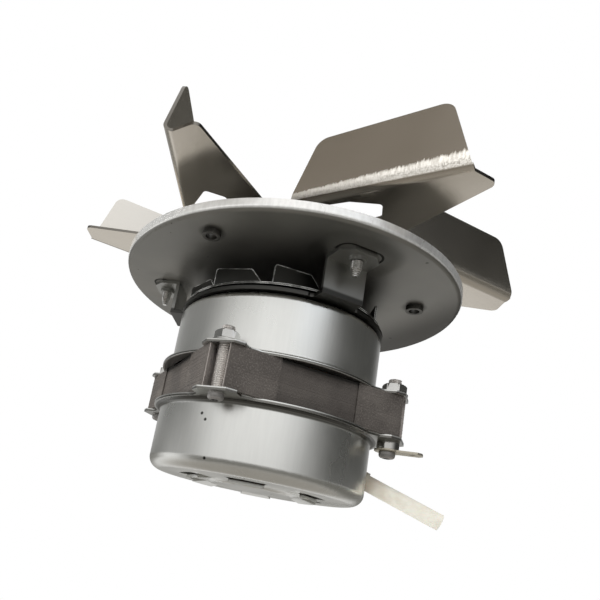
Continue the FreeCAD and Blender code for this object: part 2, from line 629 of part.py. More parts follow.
# Stator winding: varnished coil heads above and below the stack, joined through the slots.
def stator_winding():
    body = new_body("stator_winding")
    body.Placement = Placement(Vector(0, 0, 0), Rotation(Vector(0, 0, 1), 45))
    inner = "bore_radius + tooth_tip + coil_clearance"
    outer = "slot_outer + coil_reach"
    level = "stack_top + coil_clearance"
    turn_profile(body, "upper_head", [
        (inner, level + " + coil_foot"),
        (inner + " + coil_foot", level),
        (outer + " - coil_foot", level),
        (outer, level + " + coil_foot"),
        (outer, level + " + coil_height - coil_crown"),
        (outer + " - coil_crown", level + " + coil_height"),
        (inner + " + coil_crown", level + " + coil_height"),
        (inner, level + " + coil_height - coil_crown"),
    ])
    bar = corner_sketch(body, "bar_plan", "XY_Plane", [
        (inner, "-slot_half + coil_clearance"),
        ("slot_outer - slot_half - coil_clearance", "-slot_half + coil_clearance"),
        ("slot_outer - slot_half - coil_clearance", "slot_half - coil_clearance"),
        (inner, "slot_half - coil_clearance"),
    ], "stack_low - coil_clearance - coil_foot - 1")
    conductor = extrude(body, "bar", bar, "stack_length + 2 * (coil_clearance + coil_foot + 1)")
    around(body, "bars", [conductor], SLOT_COUNT)
    level = "stack_low - coil_clearance - coil_height"
    turn_profile(body, "lower_head", [
        (inner, level + " + coil_crown"),
        (inner + " + coil_crown", level),
        (outer + " - coil_crown", level),
        (outer, level + " + coil_crown"),
        (outer, level + " + coil_height - coil_foot"),
        (outer + " - coil_foot", level + " + coil_height"),
        (inner + " + coil_foot", level + " + coil_height"),
        (inner, level + " + coil_height - coil_foot"),
    ])
    return body


def rod(name, radius, low, height, across="0", along="0"):
    """A bound cylinder parallel to the motor axis."""
    item = doc.addObject("Part::Cylinder", name)
    for path, text in (("Radius", radius), ("Height", height), ("Placement.Base.x", across),
                       ("Placement.Base.y", along), ("Placement.Base.z", low)):
        bind(item, path, text)
    return item


def hexagon(name, flats, low, height, across="0", along="0"):
    """A bound hexagonal prism parallel to the motor axis."""
    item = doc.addObject("Part::Prism", name)
    item.Polygon = 6
    bind(item, "Circumradius", f"{flats} / 2 / cos(30deg)")
    for path, text in (("Height", height), ("Placement.Base.x", across),
                       ("Placement.Base.y", along), ("Placement.Base.z", low)):
        bind(item, path, text)
    return item


def joined(name, pieces):
    """The union of several objects."""
    item = doc.addObject("Part::MultiFuse", name)
    item.Shapes = pieces
    return item


def less(name, base, tool):
    """One object less another."""
    item = doc.addObject("Part::Cut", name)
    item.Base, item.Tool = base, tool
    return item


def group(label, pieces):
    """Separate solids kept together as one node."""
    item = doc.addObject("Part::Compound", label)
    item.Label = label
    item.Links = pieces
    return item


def labelled(item, label):
    """The same object under its node's name."""
    item.Label = label
    return item


def on_circle(circle, degrees):
    """Formulas for a place on a circle round the axis."""
    return f"{circle} * cos({degrees}deg)", f"{circle} * sin({degrees}deg)"


EARTH_BOLT = -45
BOLT_ANGLES = (EARTH_BOLT, 45, 135, 225)
FOOT_ANGLES = (-90, 30, 150)
RIVET_ANGLES = (90, 210, 330)


# Foot screws: pan-head screws from the oven side, their tips showing below the feet.
def flange_screws():
    screws = []
    for number, angle in enumerate(FOOT_ANGLES, 1):
        x, y = on_circle("screw_circle", angle)
        shank = rod(f"screw_shank_{number}", "screw_radius", "-screw_length", "screw_length", x, y)
        head = rod(f"screw_head_{number}", "screw_head", "0", "screw_head_height", x, y)
        tip = doc.addObject("Part::Cone", f"screw_tip_{number}")
        for path, text in (("Radius1", "screw_radius * 0.6"), ("Radius2", "screw_radius"),
                           ("Height", "screw_point"), ("Placement.Base.x", x), ("Placement.Base.y", y),
                           ("Placement.Base.z", "-screw_length - screw_point")):
            bind(tip, path, text)
        screws.append(joined(f"foot_screw_{number}", [shank, head, tip]))
    return group("flange_screws", screws)


# Spider rivets: three steel rivets through the spider plate and the crown of the front shell.
def spider_rivets():
    rivets = []
    for number, angle in enumerate(RIVET_ANGLES, 1):
        x, y = on_circle("rivet_circle", angle)
        shank = rod(f"rivet_shank_{number}", "rivet_radius", "front_seat", "shell_sheet + spider_sheet", x, y)
        upper = rod(f"rivet_head_{number}", "rivet_head", "spider_top", "rivet_rise", x, y)
        lower = rod(f"rivet_tail_{number}", "rivet_head", "front_seat - rivet_rise", "rivet_rise", x, y)
        rivets.append(joined(f"rivet_{number}", [shank, upper, lower]))
    return group("spider_rivets", rivets)


# Tie bolts: four M5 screws that clamp both shells on the laminations, heads at the rear.
def tie_bolts():
    bolts = []
    for number, angle in enumerate(BOLT_ANGLES, 1):
        x, y = on_circle("bolt_circle", angle)
        extra = " - spacer_height - tab_sheet" if angle == EARTH_BOLT else ""
        seat = "stack_low - shell_sheet" + extra
        shank = rod(f"bolt_shank_{number}", "bolt_radius", seat,
                    f"stack_top + shell_sheet + nut_height + bolt_stub - ({seat})", x, y)
        head = rod(f"bolt_head_{number}", "bolt_head", seat + " - bolt_head_height", "bolt_head_height", x, y)
        recess = rod(f"bolt_recess_{number}", "bolt_socket", seat + " - bolt_head_height",
                     "bolt_head_height / 2", x, y)
        bolts.append(less(f"bolt_{number}", joined(f"bolt_blank_{number}", [shank, head]), recess))
    return group("tie_bolts", bolts)


# Tie bolt nuts: hexagon nuts with a pressed flange, on the front ears.
def tie_bolt_nuts():
    nuts = []
    for number, angle in enumerate(BOLT_ANGLES, 1):
        x, y = on_circle("bolt_circle", angle)
        seat = "stack_top + shell_sheet"
        crown = hexagon(f"nut_hexagon_{number}", "nut_flats", seat, "nut_height", x, y)
        rim = rod(f"nut_rim_{number}", "nut_flange", seat, "nut_flange_height", x, y)
        bore = rod(f"nut_bore_{number}", "bolt_radius", seat, "nut_height", x, y)
        nuts.append(less(f"nut_{number}", joined(f"nut_blank_{number}", [crown, rim]), bore))
    return group("tie_bolt_nuts", nuts)


# Earth spacer: a plain bush that drops the earth tab clear of the rear ear.
def earth_spacer():
    x, y = on_circle("bolt_circle", EARTH_BOLT)
    low = "stack_low - shell_sheet - spacer_height"
    blank = rod("spacer_blank", "spacer_radius", low, "spacer_height", x, y)
    bore = rod("spacer_bore", "bolt_radius + bolt_clearance", low, "spacer_height", x, y)
    return labelled(less("earth_spacer", blank, bore), "earth_spacer")


# Earth tab: a tinned blade terminal held under the head of one tie bolt.
def earth_tab():
    body = new_body("earth_tab")
    body.Placement = Placement(Vector(0, 0, 0), Rotation(Vector(0, 0, 1), EARTH_BOLT))
    level = "stack_low - shell_sheet - spacer_height - tab_sheet"
    eye = circle_sketch(body, "eye_plan", "XY_Plane", [("bolt_circle", "0", "tab_eye")], level)
    extrude(body, "eye", eye, "tab_sheet")
    blade = corner_sketch(body, "blade_plan", "XY_Plane", [
        ("bolt_circle", "-tab_width / 2"),
        ("bolt_circle + tab_reach - tab_corner", "-tab_width / 2"),
        ("bolt_circle + tab_reach", "-tab_width / 2 + tab_corner"),
        ("bolt_circle + tab_reach", "tab_width / 2 - tab_corner"),
        ("bolt_circle + tab_reach - tab_corner", "tab_width / 2"),
        ("bolt_circle", "tab_width / 2"),
    ], level)
    extrude(body, "blade", blade, "tab_sheet")
    holes = circle_sketch(body, "hole_plan", "XY_Plane", [
        ("bolt_circle", "0", "bolt_radius + bolt_clearance"),
        ("bolt_circle + tab_reach - tab_hole", "0", "tab_hole_radius"),
    ], level + " + 2")
    extrude(body, "holes", holes, "tab_sheet + 4", "Pocket")
    return body


# Lead grommet: a short silicone bush in the hole of the rear shell, on the slope of the lead.
def lead_grommet():
    blank = doc.addObject("Part::Cylinder", "grommet_blank")
    bore = doc.addObject("Part::Cylinder", "grommet_bore")
    for item, radius in ((blank, "lead_radius + grommet_wall"), (bore, "lead_radius")):
        item.Placement = lead_axis(-size("grommet_inside"))
        bind(item, "Radius", radius)
        bind(item, "Height", "grommet_inside + grommet_proud")
    return labelled(less("lead_grommet", blank, bore), "lead_grommet")


def lead_route():
    """Corners of the lead's axis, each its distance from the motor axis and its height."""
    slope = math.tan(math.radians(size("lead_droop")))
    wall, level = size("rear_radius"), size("bottom") + size("lead_height")
    inner, outer = size("lead_inner_slope"), size("lead_outer_slope")
    bend_at, bend_level = wall - inner, level + inner * slope
    knee_at, knee_level = wall + outer, level - outer * slope
    return [
        (bend_at - size("lead_inner_run"), bend_level),
        (bend_at, bend_level),
        (knee_at, knee_level),
        (knee_at + size("lead_end_run"), knee_level - size("lead_end_drop")),
    ]


LEAD_ARC_SHARE = 0.45


# Supply lead: a limp silicone-glass sleeve, straight runs joined by tangent arcs.
def lead_sleeve():
    turn = Rotation(Vector(0, 0, 1), size("lead_angle"))
    points = [turn.multVec(Vector(away, 0, height)) for away, height in lead_route()]
    edges, last = [], points[0]
    for before, corner, after in zip(points, points[1:], points[2:]):
        into, out = (corner - before).normalize(), (after - corner).normalize()
        half = into.getAngle(out) / 2
        reach = LEAD_ARC_SHARE * min((corner - before).Length, (after - corner).Length)
        radius = reach / math.tan(half)
        print("lead bend radius", round(radius, 1))
        start, end = corner - into * reach, corner + out * reach
        middle = corner + (out - into).normalize() * (radius / math.cos(half) - radius)
        edges.append(Part.makeLine(last, start))
        edges.append(Part.Arc(start, middle, end).toShape())
        last = end
    edges.append(Part.makeLine(last, points[-1]))
    path = Part.Wire(edges)
    circle = Part.Wire([Part.makeCircle(size("lead_radius"), points[0], points[1] - points[0])])
    item = doc.addObject("Part::Feature", "lead_sleeve")
    item.Label = "lead_sleeve"
    item.Shape = path.makePipeShell([circle], True, False)
    swept = math.pi * size("lead_radius") ** 2 * path.Length
    print("lead length", round(path.Length, 2), "volume share", round(item.Shape.Volume / swept, 4))
    return item


# Ball bearings: outer ring in its seat, inner ring on the shaft, seven balls between.
def bearing(where, level):
    outer = less(where + "_outer_blank_cut",
                 rod(where + "_outer_blank", "bearing_outer", level, "bearing_width"),
                 rod(where + "_outer_bore", "bearing_outer - race_wall", level, "bearing_width"))
    inner = less(where + "_inner_blank_cut",
                 rod(where + "_inner_blank", "journal_radius + race_wall", level, "bearing_width"),
                 rod(where + "_inner_bore", "journal_radius", level, "bearing_width"))
    balls = []
    for number in range(int(size("ball_count"))):
        ball = doc.addObject("Part::Sphere", f"{where}_ball_{number}")
        bind(ball, "Radius", "(bearing_outer - journal_radius) / 2 - race_wall - race_clearance")
        x, y = on_circle("(bearing_outer + journal_radius) / 2", number * 360 / size("ball_count"))
        for path, text in (("Placement.Base.x", x), ("Placement.Base.y", y),
                           ("Placement.Base.z", level + " + bearing_width / 2")):
            bind(ball, path, text)
        balls.append(ball)
    outer = labelled(outer, where + "_bearing_outer_ring")
    inner = labelled(inner, where + "_bearing_inner_ring")
    return [outer, inner, group(where + "_bearing_balls", balls)]


# Preload spring: a steel ring between the rear shell's seat and the rear bearing.
def preload_spring():
    low = "bottom - boss_drop + shell_sheet"
    blank = rod("spring_blank", "bearing_outer - race_clearance", low, "spring_height")
    bore = rod("spring_bore", "bearing_outer - race_wall", low, "spring_height")
    return labelled(less("preload_spring", blank, bore), "preload_spring")


# Motor shaft: turned steel, with shoulders for the bearings and hub and a flat at the wheel.
def motor_shaft():
    body = new_body("motor_shaft")
    low = "rear_seat"
    first = "rear_seat + bearing_width"
    second = "front_seat - bearing_width"
    seat = "wheel_height - hub_flange_height"
    end = "wheel_top + thread_length"
    turn_profile(body, "turning", [
        ("0", low),
        ("journal_radius - shaft_chamfer", low),
        ("journal_radius", low + " + shaft_chamfer"),
        ("journal_radius", first),
        ("core_seat", first),
        ("core_seat", second),
        ("journal_radius", second),
        ("journal_radius", seat),
        ("hub_seat", seat),
        ("hub_seat", end + " - shaft_chamfer"),
        ("hub_seat - shaft_chamfer", end),
        ("0", end),
    ])
    flat = corner_sketch(body, "flat_plan", "XY_Plane", [
        ("hub_seat - flat_depth", "-hub_seat - 1"),
        ("hub_seat + 2", "-hub_seat - 1"),
        ("hub_seat + 2", "hub_seat + 1"),
        ("hub_seat - flat_depth", "hub_seat + 1"),
    ], "wheel_top + hub_rise")
    extrude(body, "flat", flat, "hub_flange_height + wheel_sheet + hub_rise", "Pocket")
    return body


# Rotor core and its cast end rings.
def rotor_core():
    blank = rod("rotor_blank", "bore_radius - air_gap", "stack_low", "stack_length")
    bore = rod("rotor_bore", "core_seat", "stack_low", "stack_length")
    return labelled(less("rotor_core", blank, bore), "rotor_core")


def rotor_end_rings():
    rings = []
    outer = "bore_radius - air_gap - end_ring_step"
    for name, low in (("upper", "stack_top"), ("lower", "stack_low - end_ring")):
        blank = rod(name + "_ring_blank", outer, low, "end_ring")
        bore = rod(name + "_ring_bore", outer + " - end_ring_wall", low, "end_ring")
        rings.append(less(name + "_ring", blank, bore))
    return group("rotor_end_rings", rings)


def rounded_face(corners):
    """A flat face from (point, radius) corners, with a tangent arc at each corner that has a radius."""
    edges, last, opened = [], None, None
    count = len(corners)
    for index, (point, radius) in enumerate(corners):
        before, after = corners[index - 1][0], corners[(index + 1) % count][0]
        into, out = (point - before).normalize(), (after - point).normalize()
        if radius > 0:
            half = into.getAngle(out) / 2
            reach = radius * math.tan(half)
            start, end = point - into * reach, point + out * reach
            middle = point + (out - into).normalize() * (radius / math.cos(half) - radius)
            arc = Part.Arc(start, middle, end).toShape()
        else:
            start, end, arc = point, point, None
        if last is None:
            opened = start
        else:
            edges.append(Part.makeLine(last, start))
        if arc:
            edges.append(arc)
        last = end
    edges.append(Part.makeLine(last, opened))
    return Part.Face(Part.Wire(edges))


def spread_round(shape, count):
    """Copies of a shape, evenly spaced round the motor axis."""
    copies = []
    for number in range(count):
        copy = shape.copy()
        copy.rotate(Vector(0, 0, 0), Vector(0, 0, 1), 360 * number / count)
        copies.append(copy)
    return copies


FLAP_COUNT = 10


# Cooling wheel: a sheet disc whose ten swept flaps stand up, driving air over the motor.
def cooling_wheel():
    low, high = size("cooling_low"), size("cooling_top")
    disc = Part.makeCylinder(size("cooling_radius"), high - low, Vector(0, 0, low))
    bore = Part.makeCylinder(size("cooling_spigot"), high - low, Vector(0, 0, low))
    outer, offset = -size("flap_start"), size("flap_offset")
    inner = outer + size("flap_base")
    slant = outer + size("flap_top")
    top = high + size("flap_height")
    corner = size("flap_corner")
    outline = rounded_face([
        (Vector(outer, -offset, low), 0),
        (Vector(outer, -offset, top), corner),
        (Vector(slant, -offset, top), corner),
        (Vector(inner, -offset, high + size("flap_step")), corner / 2),
        (Vector(inner, -offset, low), 0),
    ])
    flap = outline.extrude(Vector(0, size("cooling_sheet"), 0))
    margin = size("cooling_sheet")
    window = Part.makeBox(size("flap_top"), size("flap_height"), high - low + 2 * margin,
                          Vector(outer + margin, -offset + margin, low - margin))
    plate = disc.cut(bore).cut(spread_round(window, FLAP_COUNT))
    item = doc.addObject("Part::Feature", "cooling_wheel")
    item.Label = "cooling_wheel"
    item.Shape = plate.fuse(spread_round(flap, FLAP_COUNT)).removeSplitter()
    bind(item, "Placement.Rotation.Angle", "cooling_turn * 1deg")
    return item


# Cooling wheel hub: a turned collar pressed on the shaft.
def cooling_hub():
    body = new_body("cooling_hub")
    turn_profile(body, "turning", [
        ("journal_radius", "cooling_low"),
        ("cooling_spigot", "cooling_low"),
        ("cooling_spigot", "cooling_top"),
        ("cooling_hub", "cooling_top"),
        ("cooling_hub", "cooling_top + cooling_hub_height - shaft_chamfer"),
        ("cooling_hub - shaft_chamfer", "cooling_top + cooling_hub_height"),
        ("journal_radius", "cooling_top + cooling_hub_height"),
    ])
    return body


def bent_section(left):
    """Section of an arm and its blade across the bend line, in the plane X = left."""
    under, over = size("wheel_height"), size("wheel_top")
    inward, gauge = size("bend_offset"), size("wheel_sheet")
    inside = size("wheel_bend")
    outside = inside + gauge
    lean = math.radians(size("blade_lean"))
    blade_way = Vector(0, math.sin(lean), math.cos(lean))
    blade_out = Vector(0, -math.cos(lean), math.sin(lean))
    corner_out = (blade_out + Vector(0, 0, -1)).normalize()
    centre = Vector(left, outside - inward, under + outside)
    rise = (size("blade_height") - outside) / math.cos(lean) + gauge
    outer_start, inner_start = centre + blade_out * outside, centre + blade_out * inside
    outer_top, inner_top = outer_start + blade_way * rise, inner_start + blade_way * rise
    return Part.Face(Part.Wire([
        Part.makeLine(outer_start, outer_top),
        Part.makeLine(outer_top, inner_top),
        Part.makeLine(inner_top, inner_start),
        Part.Arc(inner_start, centre + corner_out * inside, Vector(left, centre.y, over)).toShape(),
        Part.makeLine(Vector(left, centre.y, over), Vector(left, 0, over)),
        Part.makeLine(Vector(left, 0, over), Vector(left, 0, under)),
        Part.makeLine(Vector(left, 0, under), Vector(left, centre.y, under)),
        Part.Arc(Vector(left, centre.y, under), centre + corner_out * outside, outer_start).toShape(),
    ]))


def fan_arm():
    """One arm with its blade. The bend line runs along X, at bend_offset towards -Y."""
    under = size("wheel_height")
    face, gauge = -size("bend_offset"), size("wheel_sheet")
    outside = size("wheel_bend") + gauge
    top = under + size("blade_height")
    left, right = size("blade_in") - gauge, size("arm_tip") + gauge
    bent = bent_section(left).extrude(Vector(right - left, 0, 0))

    def side(along, height):
        return Vector(along, face - gauge, height)

    def plan(along, across):
        return Vector(along, face + across, under - gauge)

    corner = size("blade_corner")
    depth = size("bend_offset") + 2 * gauge
    blade_outline = rounded_face([
        (side(size("blade_in"), under - gauge), 0),
        (side(size("blade_in"), under), 0),
        (side(size("blade_top_in"), top), corner),
        (side(size("blade_top_out"), top), corner),
        (side(size("blade_out"), under), 0),
        (side(size("blade_out"), under - gauge), 0),
    ]).extrude(Vector(0, depth, 0))
    flat_zone = Part.makeBox(right - left, depth, 2 * gauge, side(left, under - gauge))
    slit = outside + size("relief_gap")
    tip, root = size("relief_corner"), size("arm_root_corner")
    arm_outline = rounded_face([
        (plan(size("blade_in"), -gauge), 0),
        (plan(size("blade_out"), -gauge), 0),
        (plan(size("blade_out"), outside), 0),
        (plan(size("arm_tip"), size("arm_tip_width")), size("arm_corner")),
        (plan(size("arm_root_along"), size("arm_root_width")), root),
        (plan(size("hub_lap_far"), -face), 0),
        (plan(size("hub_lap"), -face), 0),
        (plan(size("hub_lap_root"), -face - size("hub_lap_root")), root),
        (plan(size("relief_end"), size("relief_end_width")), tip),
        (plan(size("relief_tip"), size("relief_tip_width")), tip),
        (plan(size("relief_start"), size("relief_start_width")), tip),
        (plan(size("blade_in"), slit), 0),
    ]).extrude(Vector(0, 0, top - under + 2 * gauge))
    return bent.common(blade_outline.fuse(flat_zone)).common(arm_outline)


ARM_COUNT = 6


# Fan wheel: one stainless sheet. Each arm lies flat and its blade is bent up along the leading edge.
def fan_wheel():
    under, over = size("wheel_height"), size("wheel_top")
    plate = Part.makeCylinder(size("hub_plate"), over - under, Vector(0, 0, under))
    hole = Part.makeCylinder(size("hub_radius"), over - under, Vector(0, 0, under))
    item = doc.addObject("Part::Feature", "fan_wheel")
    item.Label = "fan_wheel"
    item.Shape = plate.fuse(spread_round(fan_arm(), ARM_COUNT)).cut(hole).removeSplitter()
    bind(item, "Placement.Rotation.Angle", "wheel_turn * 1deg")
    return item


# Wheel hub: a turned boss riveted into the fan wheel, bored to suit the flatted shaft.
def wheel_hub():
    low = "wheel_height - hub_flange_height"
    rim = rod("hub_rim", "hub_flange", low, "hub_flange_height")
    spigot = rod("hub_spigot", "hub_radius", "wheel_height", "wheel_sheet + hub_rise")
    bore = rod("hub_bore_round", "hub_seat", low, "hub_flange_height + wheel_sheet + hub_rise")
    flat = doc.addObject("Part::Box", "hub_bore_flat")
    for path, text in (("Length", "hub_seat * 2 - flat_depth"), ("Width", "hub_seat * 2"),
                       ("Height", "hub_flange_height + wheel_sheet + hub_rise"),
                       ("Placement.Base.x", "-hub_seat"), ("Placement.Base.y", "-hub_seat"),
                       ("Placement.Base.z", low)):
        bind(flat, path, text)
    tool = doc.addObject("Part::Common", "hub_bore")
    tool.Base, tool.Tool = bore, flat
    return labelled(less("wheel_hub", joined("hub_blank", [rim, spigot]), tool), "wheel_hub")


# Locking washer and left-hand nut that hold the fan wheel.
def wheel_washer():
    low = "wheel_top + hub_rise"
    blank = rod("washer_blank", "washer_radius", low, "washer_sheet")
    bore = rod("washer_bore", "hub_seat", low, "washer_sheet")
    return labelled(less("wheel_washer", blank, bore), "wheel_washer")


def wheel_nut():
    low = "wheel_top + hub_rise + washer_sheet"
    blank = hexagon("wheel_nut_blank", "shaft_nut_flats", low, "shaft_nut_height")
    bore = rod("wheel_nut_bore", "hub_seat", low, "shaft_nut_height")
    return labelled(less("wheel_nut", blank, bore), "wheel_nut")


PIECES = [
    mounting_flange(), support_spider(), flange_screws(), spider_rivets(),
    front_shell(), rear_shell(), stator_core(), stator_winding(),
    tie_bolts(), tie_bolt_nuts(), earth_spacer(), earth_tab(),
    lead_grommet(), lead_sleeve(), preload_spring(),
    *bearing("front", "front_seat - bearing_width"), *bearing("rear", "rear_seat"),
    motor_shaft(), rotor_core(), rotor_end_rings(), cooling_wheel(), cooling_hub(),
    fan_wheel(), wheel_hub(), wheel_washer(), wheel_nut(),
]
doc.recompute()

# Every object is checked, and every node is written to its own STEP file.
failed = [part.Name for part in doc.Objects if "Invalid" in part.State or "Error" in part.State]
if failed:
    raise RuntimeError(f"these objects failed: {failed}")
os.makedirs("parts", exist_ok=True)
for item in PIECES:
    if item.Shape.isNull() or not item.Shape.isValid():
        raise RuntimeError(f"{item.Label} isn't a valid shape")
    item.Shape.exportStep(f"parts/{item.Label}.step")
    print(item.Label, round(item.Shape.Volume, 1), len(item.Shape.Solids))
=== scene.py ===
from math import asin, cos, pi, radians, sin, sqrt

import bmesh
import bpy
from mathutils import Matrix, Vector
from mathutils.geometry import tessellate_polygon


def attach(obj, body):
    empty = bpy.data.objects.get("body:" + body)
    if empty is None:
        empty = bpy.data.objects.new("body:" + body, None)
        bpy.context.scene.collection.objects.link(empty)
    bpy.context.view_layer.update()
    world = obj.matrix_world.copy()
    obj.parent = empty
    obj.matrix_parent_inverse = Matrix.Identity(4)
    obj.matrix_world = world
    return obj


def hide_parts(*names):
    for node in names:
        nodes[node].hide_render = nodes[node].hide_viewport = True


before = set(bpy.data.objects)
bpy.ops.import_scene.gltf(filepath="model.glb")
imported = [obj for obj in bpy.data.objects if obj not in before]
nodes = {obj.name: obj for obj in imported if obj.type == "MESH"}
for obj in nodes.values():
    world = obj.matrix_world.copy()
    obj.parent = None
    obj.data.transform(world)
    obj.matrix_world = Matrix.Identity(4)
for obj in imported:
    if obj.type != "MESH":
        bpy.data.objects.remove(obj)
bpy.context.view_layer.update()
MM = 0.001

# Mounting flange
# The round pan that closes the hole in the oven's wall and carries the motor. It is pressed
# from zinc-plated steel sheet, dished a little round the screwed-on feet, with its rim rubbed bright
# and also painted lighter as a highlight. Painted shade lines the feet's outer edges and darkens
# the +X side.


def add(tree, kind, sockets=None, **settings):
    """Adds a node; a kind without a prefix is a shader node. Each socket is given by name or number, as a
    value or as an output to link. Colours come without their alpha."""
    node = tree.nodes.new(kind if "Node" in kind else "ShaderNode" + kind)
    for name, value in settings.items():
        setattr(node, name, value)
    for name, value in (sockets or {}).items():
        if isinstance(value, bpy.types.NodeSocket):
            tree.links.new(value, node.inputs[name])
        else:
            node.inputs[name].default_value = (*value, 1) if node.inputs[name].type == "RGBA" else value
    return node


def calc(tree, operation, *terms):
    """One step of arithmetic in a shader or geometry tree."""
    return add(tree, "Math", dict(enumerate(terms)), operation=operation).outputs[0]


def linear(tree, value, slope, start):
    """A value times a slope, plus a start."""
    return calc(tree, "MULTIPLY_ADD", value, slope, start)


def less(tree, value, taken):
    """A difference."""
    return calc(tree, "SUBTRACT", value, taken)


def times(tree, *factors):
    """The product of several values."""
    product, *others = factors
    for factor in others:
        product = calc(tree, "MULTIPLY", product, factor)
    return product


def xyz(tree, vector):
    """The X, Y and Z of a vector."""
    return add(tree, "SeparateXYZ", {0: vector}).outputs


def noise(tree, spot, scale, detail):
    """Soft irregular noise from 0 to 1."""
    return add(tree, "TexNoise", {"Vector": spot, "Scale": scale, "Detail": detail}).outputs[0]


def relief(tree, strength, depth, height, **further):
    """A normal that follows a height."""
    return add(tree, "Bump", {
        "Strength": strength, "Distance": depth, "Height": height, **further}).outputs[0]


def feed(tree, shader, values):
    """Links values to the shader's sockets."""
    for name, value in values.items():
        tree.links.new(value, shader.inputs[name])


def ramp(tree, value, low, high, bottom=0.0, top=1.0):
    """A smooth change from bottom to top as value goes from low to high."""
    return add(tree, "MapRange", {0: value, 1: low, 2: high, 3: bottom, 4: top},
               interpolation_type="SMOOTHSTEP").outputs[0]


def mix(tree, share, first, second):
    """Two colours mixed; each is a colour or an output."""
    return add(tree, "Mix", {0: share, 6: first, 7: second}, data_type="RGBA").outputs[2]


def stretched(tree, spot, factors):
    """A place scaled along each axis, so that a pattern runs in one direction."""
    return add(tree, "VectorMath", {0: spot, 1: factors}, operation="MULTIPLY").outputs[0]


def from_axis(tree, spot):
    """How far a place is from the motor's axis."""
    length = add(tree, "VectorMath", {0: stretched(tree, spot, (1, 1, 0))}, operation="LENGTH")
    return length.outputs["Value"]


def turned_back(tree, vector, turn):
    """A vector turned back about the motor's axis."""
    return add(tree, "VectorRotate", {"Vector": vector, "Angle": times(tree, turn, -1.0)},
               rotation_type="Z_AXIS").outputs[0]


def sector(tree, axes, edge, step, start):
    """The number and the turn of the sector that a place is in; edge is where number 0 begins."""
    bearing = calc(tree, "ARCTAN2", axes["Y"], axes["X"])
    number = calc(tree, "FLOOR", calc(tree, "DIVIDE", less(tree, bearing, edge), step))
    return number, linear(tree, number, step, start)


def new_material(name):
    """A material that has no nodes yet."""
    material = bpy.data.materials.new(name)
    material.use_nodes = True
    material.node_tree.nodes.clear()
    return material, material.node_tree


def here(tree):
    """The place on the object, in metres."""
    return add(tree, "TexCoord").outputs["Object"]


def new_finish(name, metallic=0.0, roughness=0.5):
    """A material, its tree, its shader and the place on the object."""
    material, tree = new_material(name)
    shader = add(tree, "BsdfPrincipled", {"Metallic": metallic, "Roughness": roughness})
    add(tree, "OutputMaterial", {0: shader.outputs[0]})
    return material, tree, shader, here(tree)


def new_group(name, inputs, outputs, kind="ShaderNodeTree"):
    """An empty node group. An input is given by its first value, or by its kind where it has none."""
    tree = bpy.data.node_groups.new(name, kind)
    for label, value in inputs.items():
        word = value if isinstance(value, str) else {float: "Float", int: "Int", tuple: "Vector"}[type(value)]
        socket = tree.interface.new_socket(label, in_out="INPUT", socket_type="NodeSocket" + word)
        if word != value:
            socket.default_value = value
    for label, word in outputs.items():
        tree.interface.new_socket(label, in_out="OUTPUT", socket_type="NodeSocket" + word)
    return tree, tree.nodes.new("NodeGroupInput").outputs, tree.nodes.new("NodeGroupOutput").inputs


def sheet_skin_group():
    """The skin of rolled or drawn sheet: broad clouds, fine lines in one direction and their relief."""
    tree, given, made = new_group("sheet_skin", {
        "Place": "Vector", "Stretch": (1.0, 1.0, 0.06), "Cloud Scale": 35.0, "Line Scale": 1400.0, "Relief": 0.04,
    }, {"Clouds": "Float", "Lines": "Float", "Normal": "Vector"})
    clouds = noise(tree, given["Place"], given["Cloud Scale"], 3.0)
    lines = noise(tree, stretched(tree, given["Place"], given["Stretch"]), given["Line Scale"], 2.0)
    tree.links.new(clouds, made["Clouds"])
    tree.links.new(lines, made["Lines"])
    tree.links.new(relief(tree, given["Relief"], 0.2 * MM, lines), made["Normal"])
    return tree


def chosen_cells(tree, spot, scale, channel, share, faint, full):
    """Dots at the middle of a random share of cells."""
    cells = add(tree, "TexVoronoi", {"Vector": spot, "Scale": scale})
    pick = add(tree, "SeparateColor", {0: cells.outputs["Color"]}).outputs[channel]
    return times(tree, calc(tree, "LESS_THAN", pick, share), ramp(tree, cells.outputs["Distance"], faint, full))


def handling_marks_group():
    """Small dark specks and short scratches that handling leaves on plated steel."""
    tree, given, made = new_group("handling_marks", {
        "Place": "Vector", "Speck Scale": 240.0, "Speck Share": 0.012, "Scratch Share": 0.012}, {"Marks": "Float"})
    speck = chosen_cells(tree, given["Place"], given["Speck Scale"], 0, given["Speck Share"], 0.32, 0.12)
    bent = add(tree, "TexNoise", {"Vector": given["Place"], "Scale": 60.0, "Detail": 1.0})
    moved = add(tree, "VectorMath", {
        0: given["Place"], 1: stretched(tree, bent.outputs["Color"], (0.02, 0.02, 0.004))})
    drawn_out = stretched(tree, moved.outputs[0], (1.0, 1.0, 0.16))
    scratch = chosen_cells(tree, drawn_out, 420.0, 1, given["Scratch Share"], 0.18, 0.05)
    tree.links.new(calc(tree, "MAXIMUM", speck, scratch), made["Marks"])
    return tree


SHEET_SKIN = sheet_skin_group()
HANDLING_MARKS = handling_marks_group()


def placed(tree, kind, spot, values):
    """A shared group placed in a material with its own values."""
    node = add(tree, "Group", node_tree=kind)
    tree.links.new(spot, node.inputs["Place"])
    for name, value in values.items():
        node.inputs[name].default_value = value
    return node.outputs


def round_place(tree, spot, place, full, none):
    """A mask that is 1 within a distance of a point and 0 beyond another."""
    gap = add(tree, "VectorMath", {0: spot, 1: place}, operation="DISTANCE")
    return ramp(tree, gap.outputs["Value"], none, full)


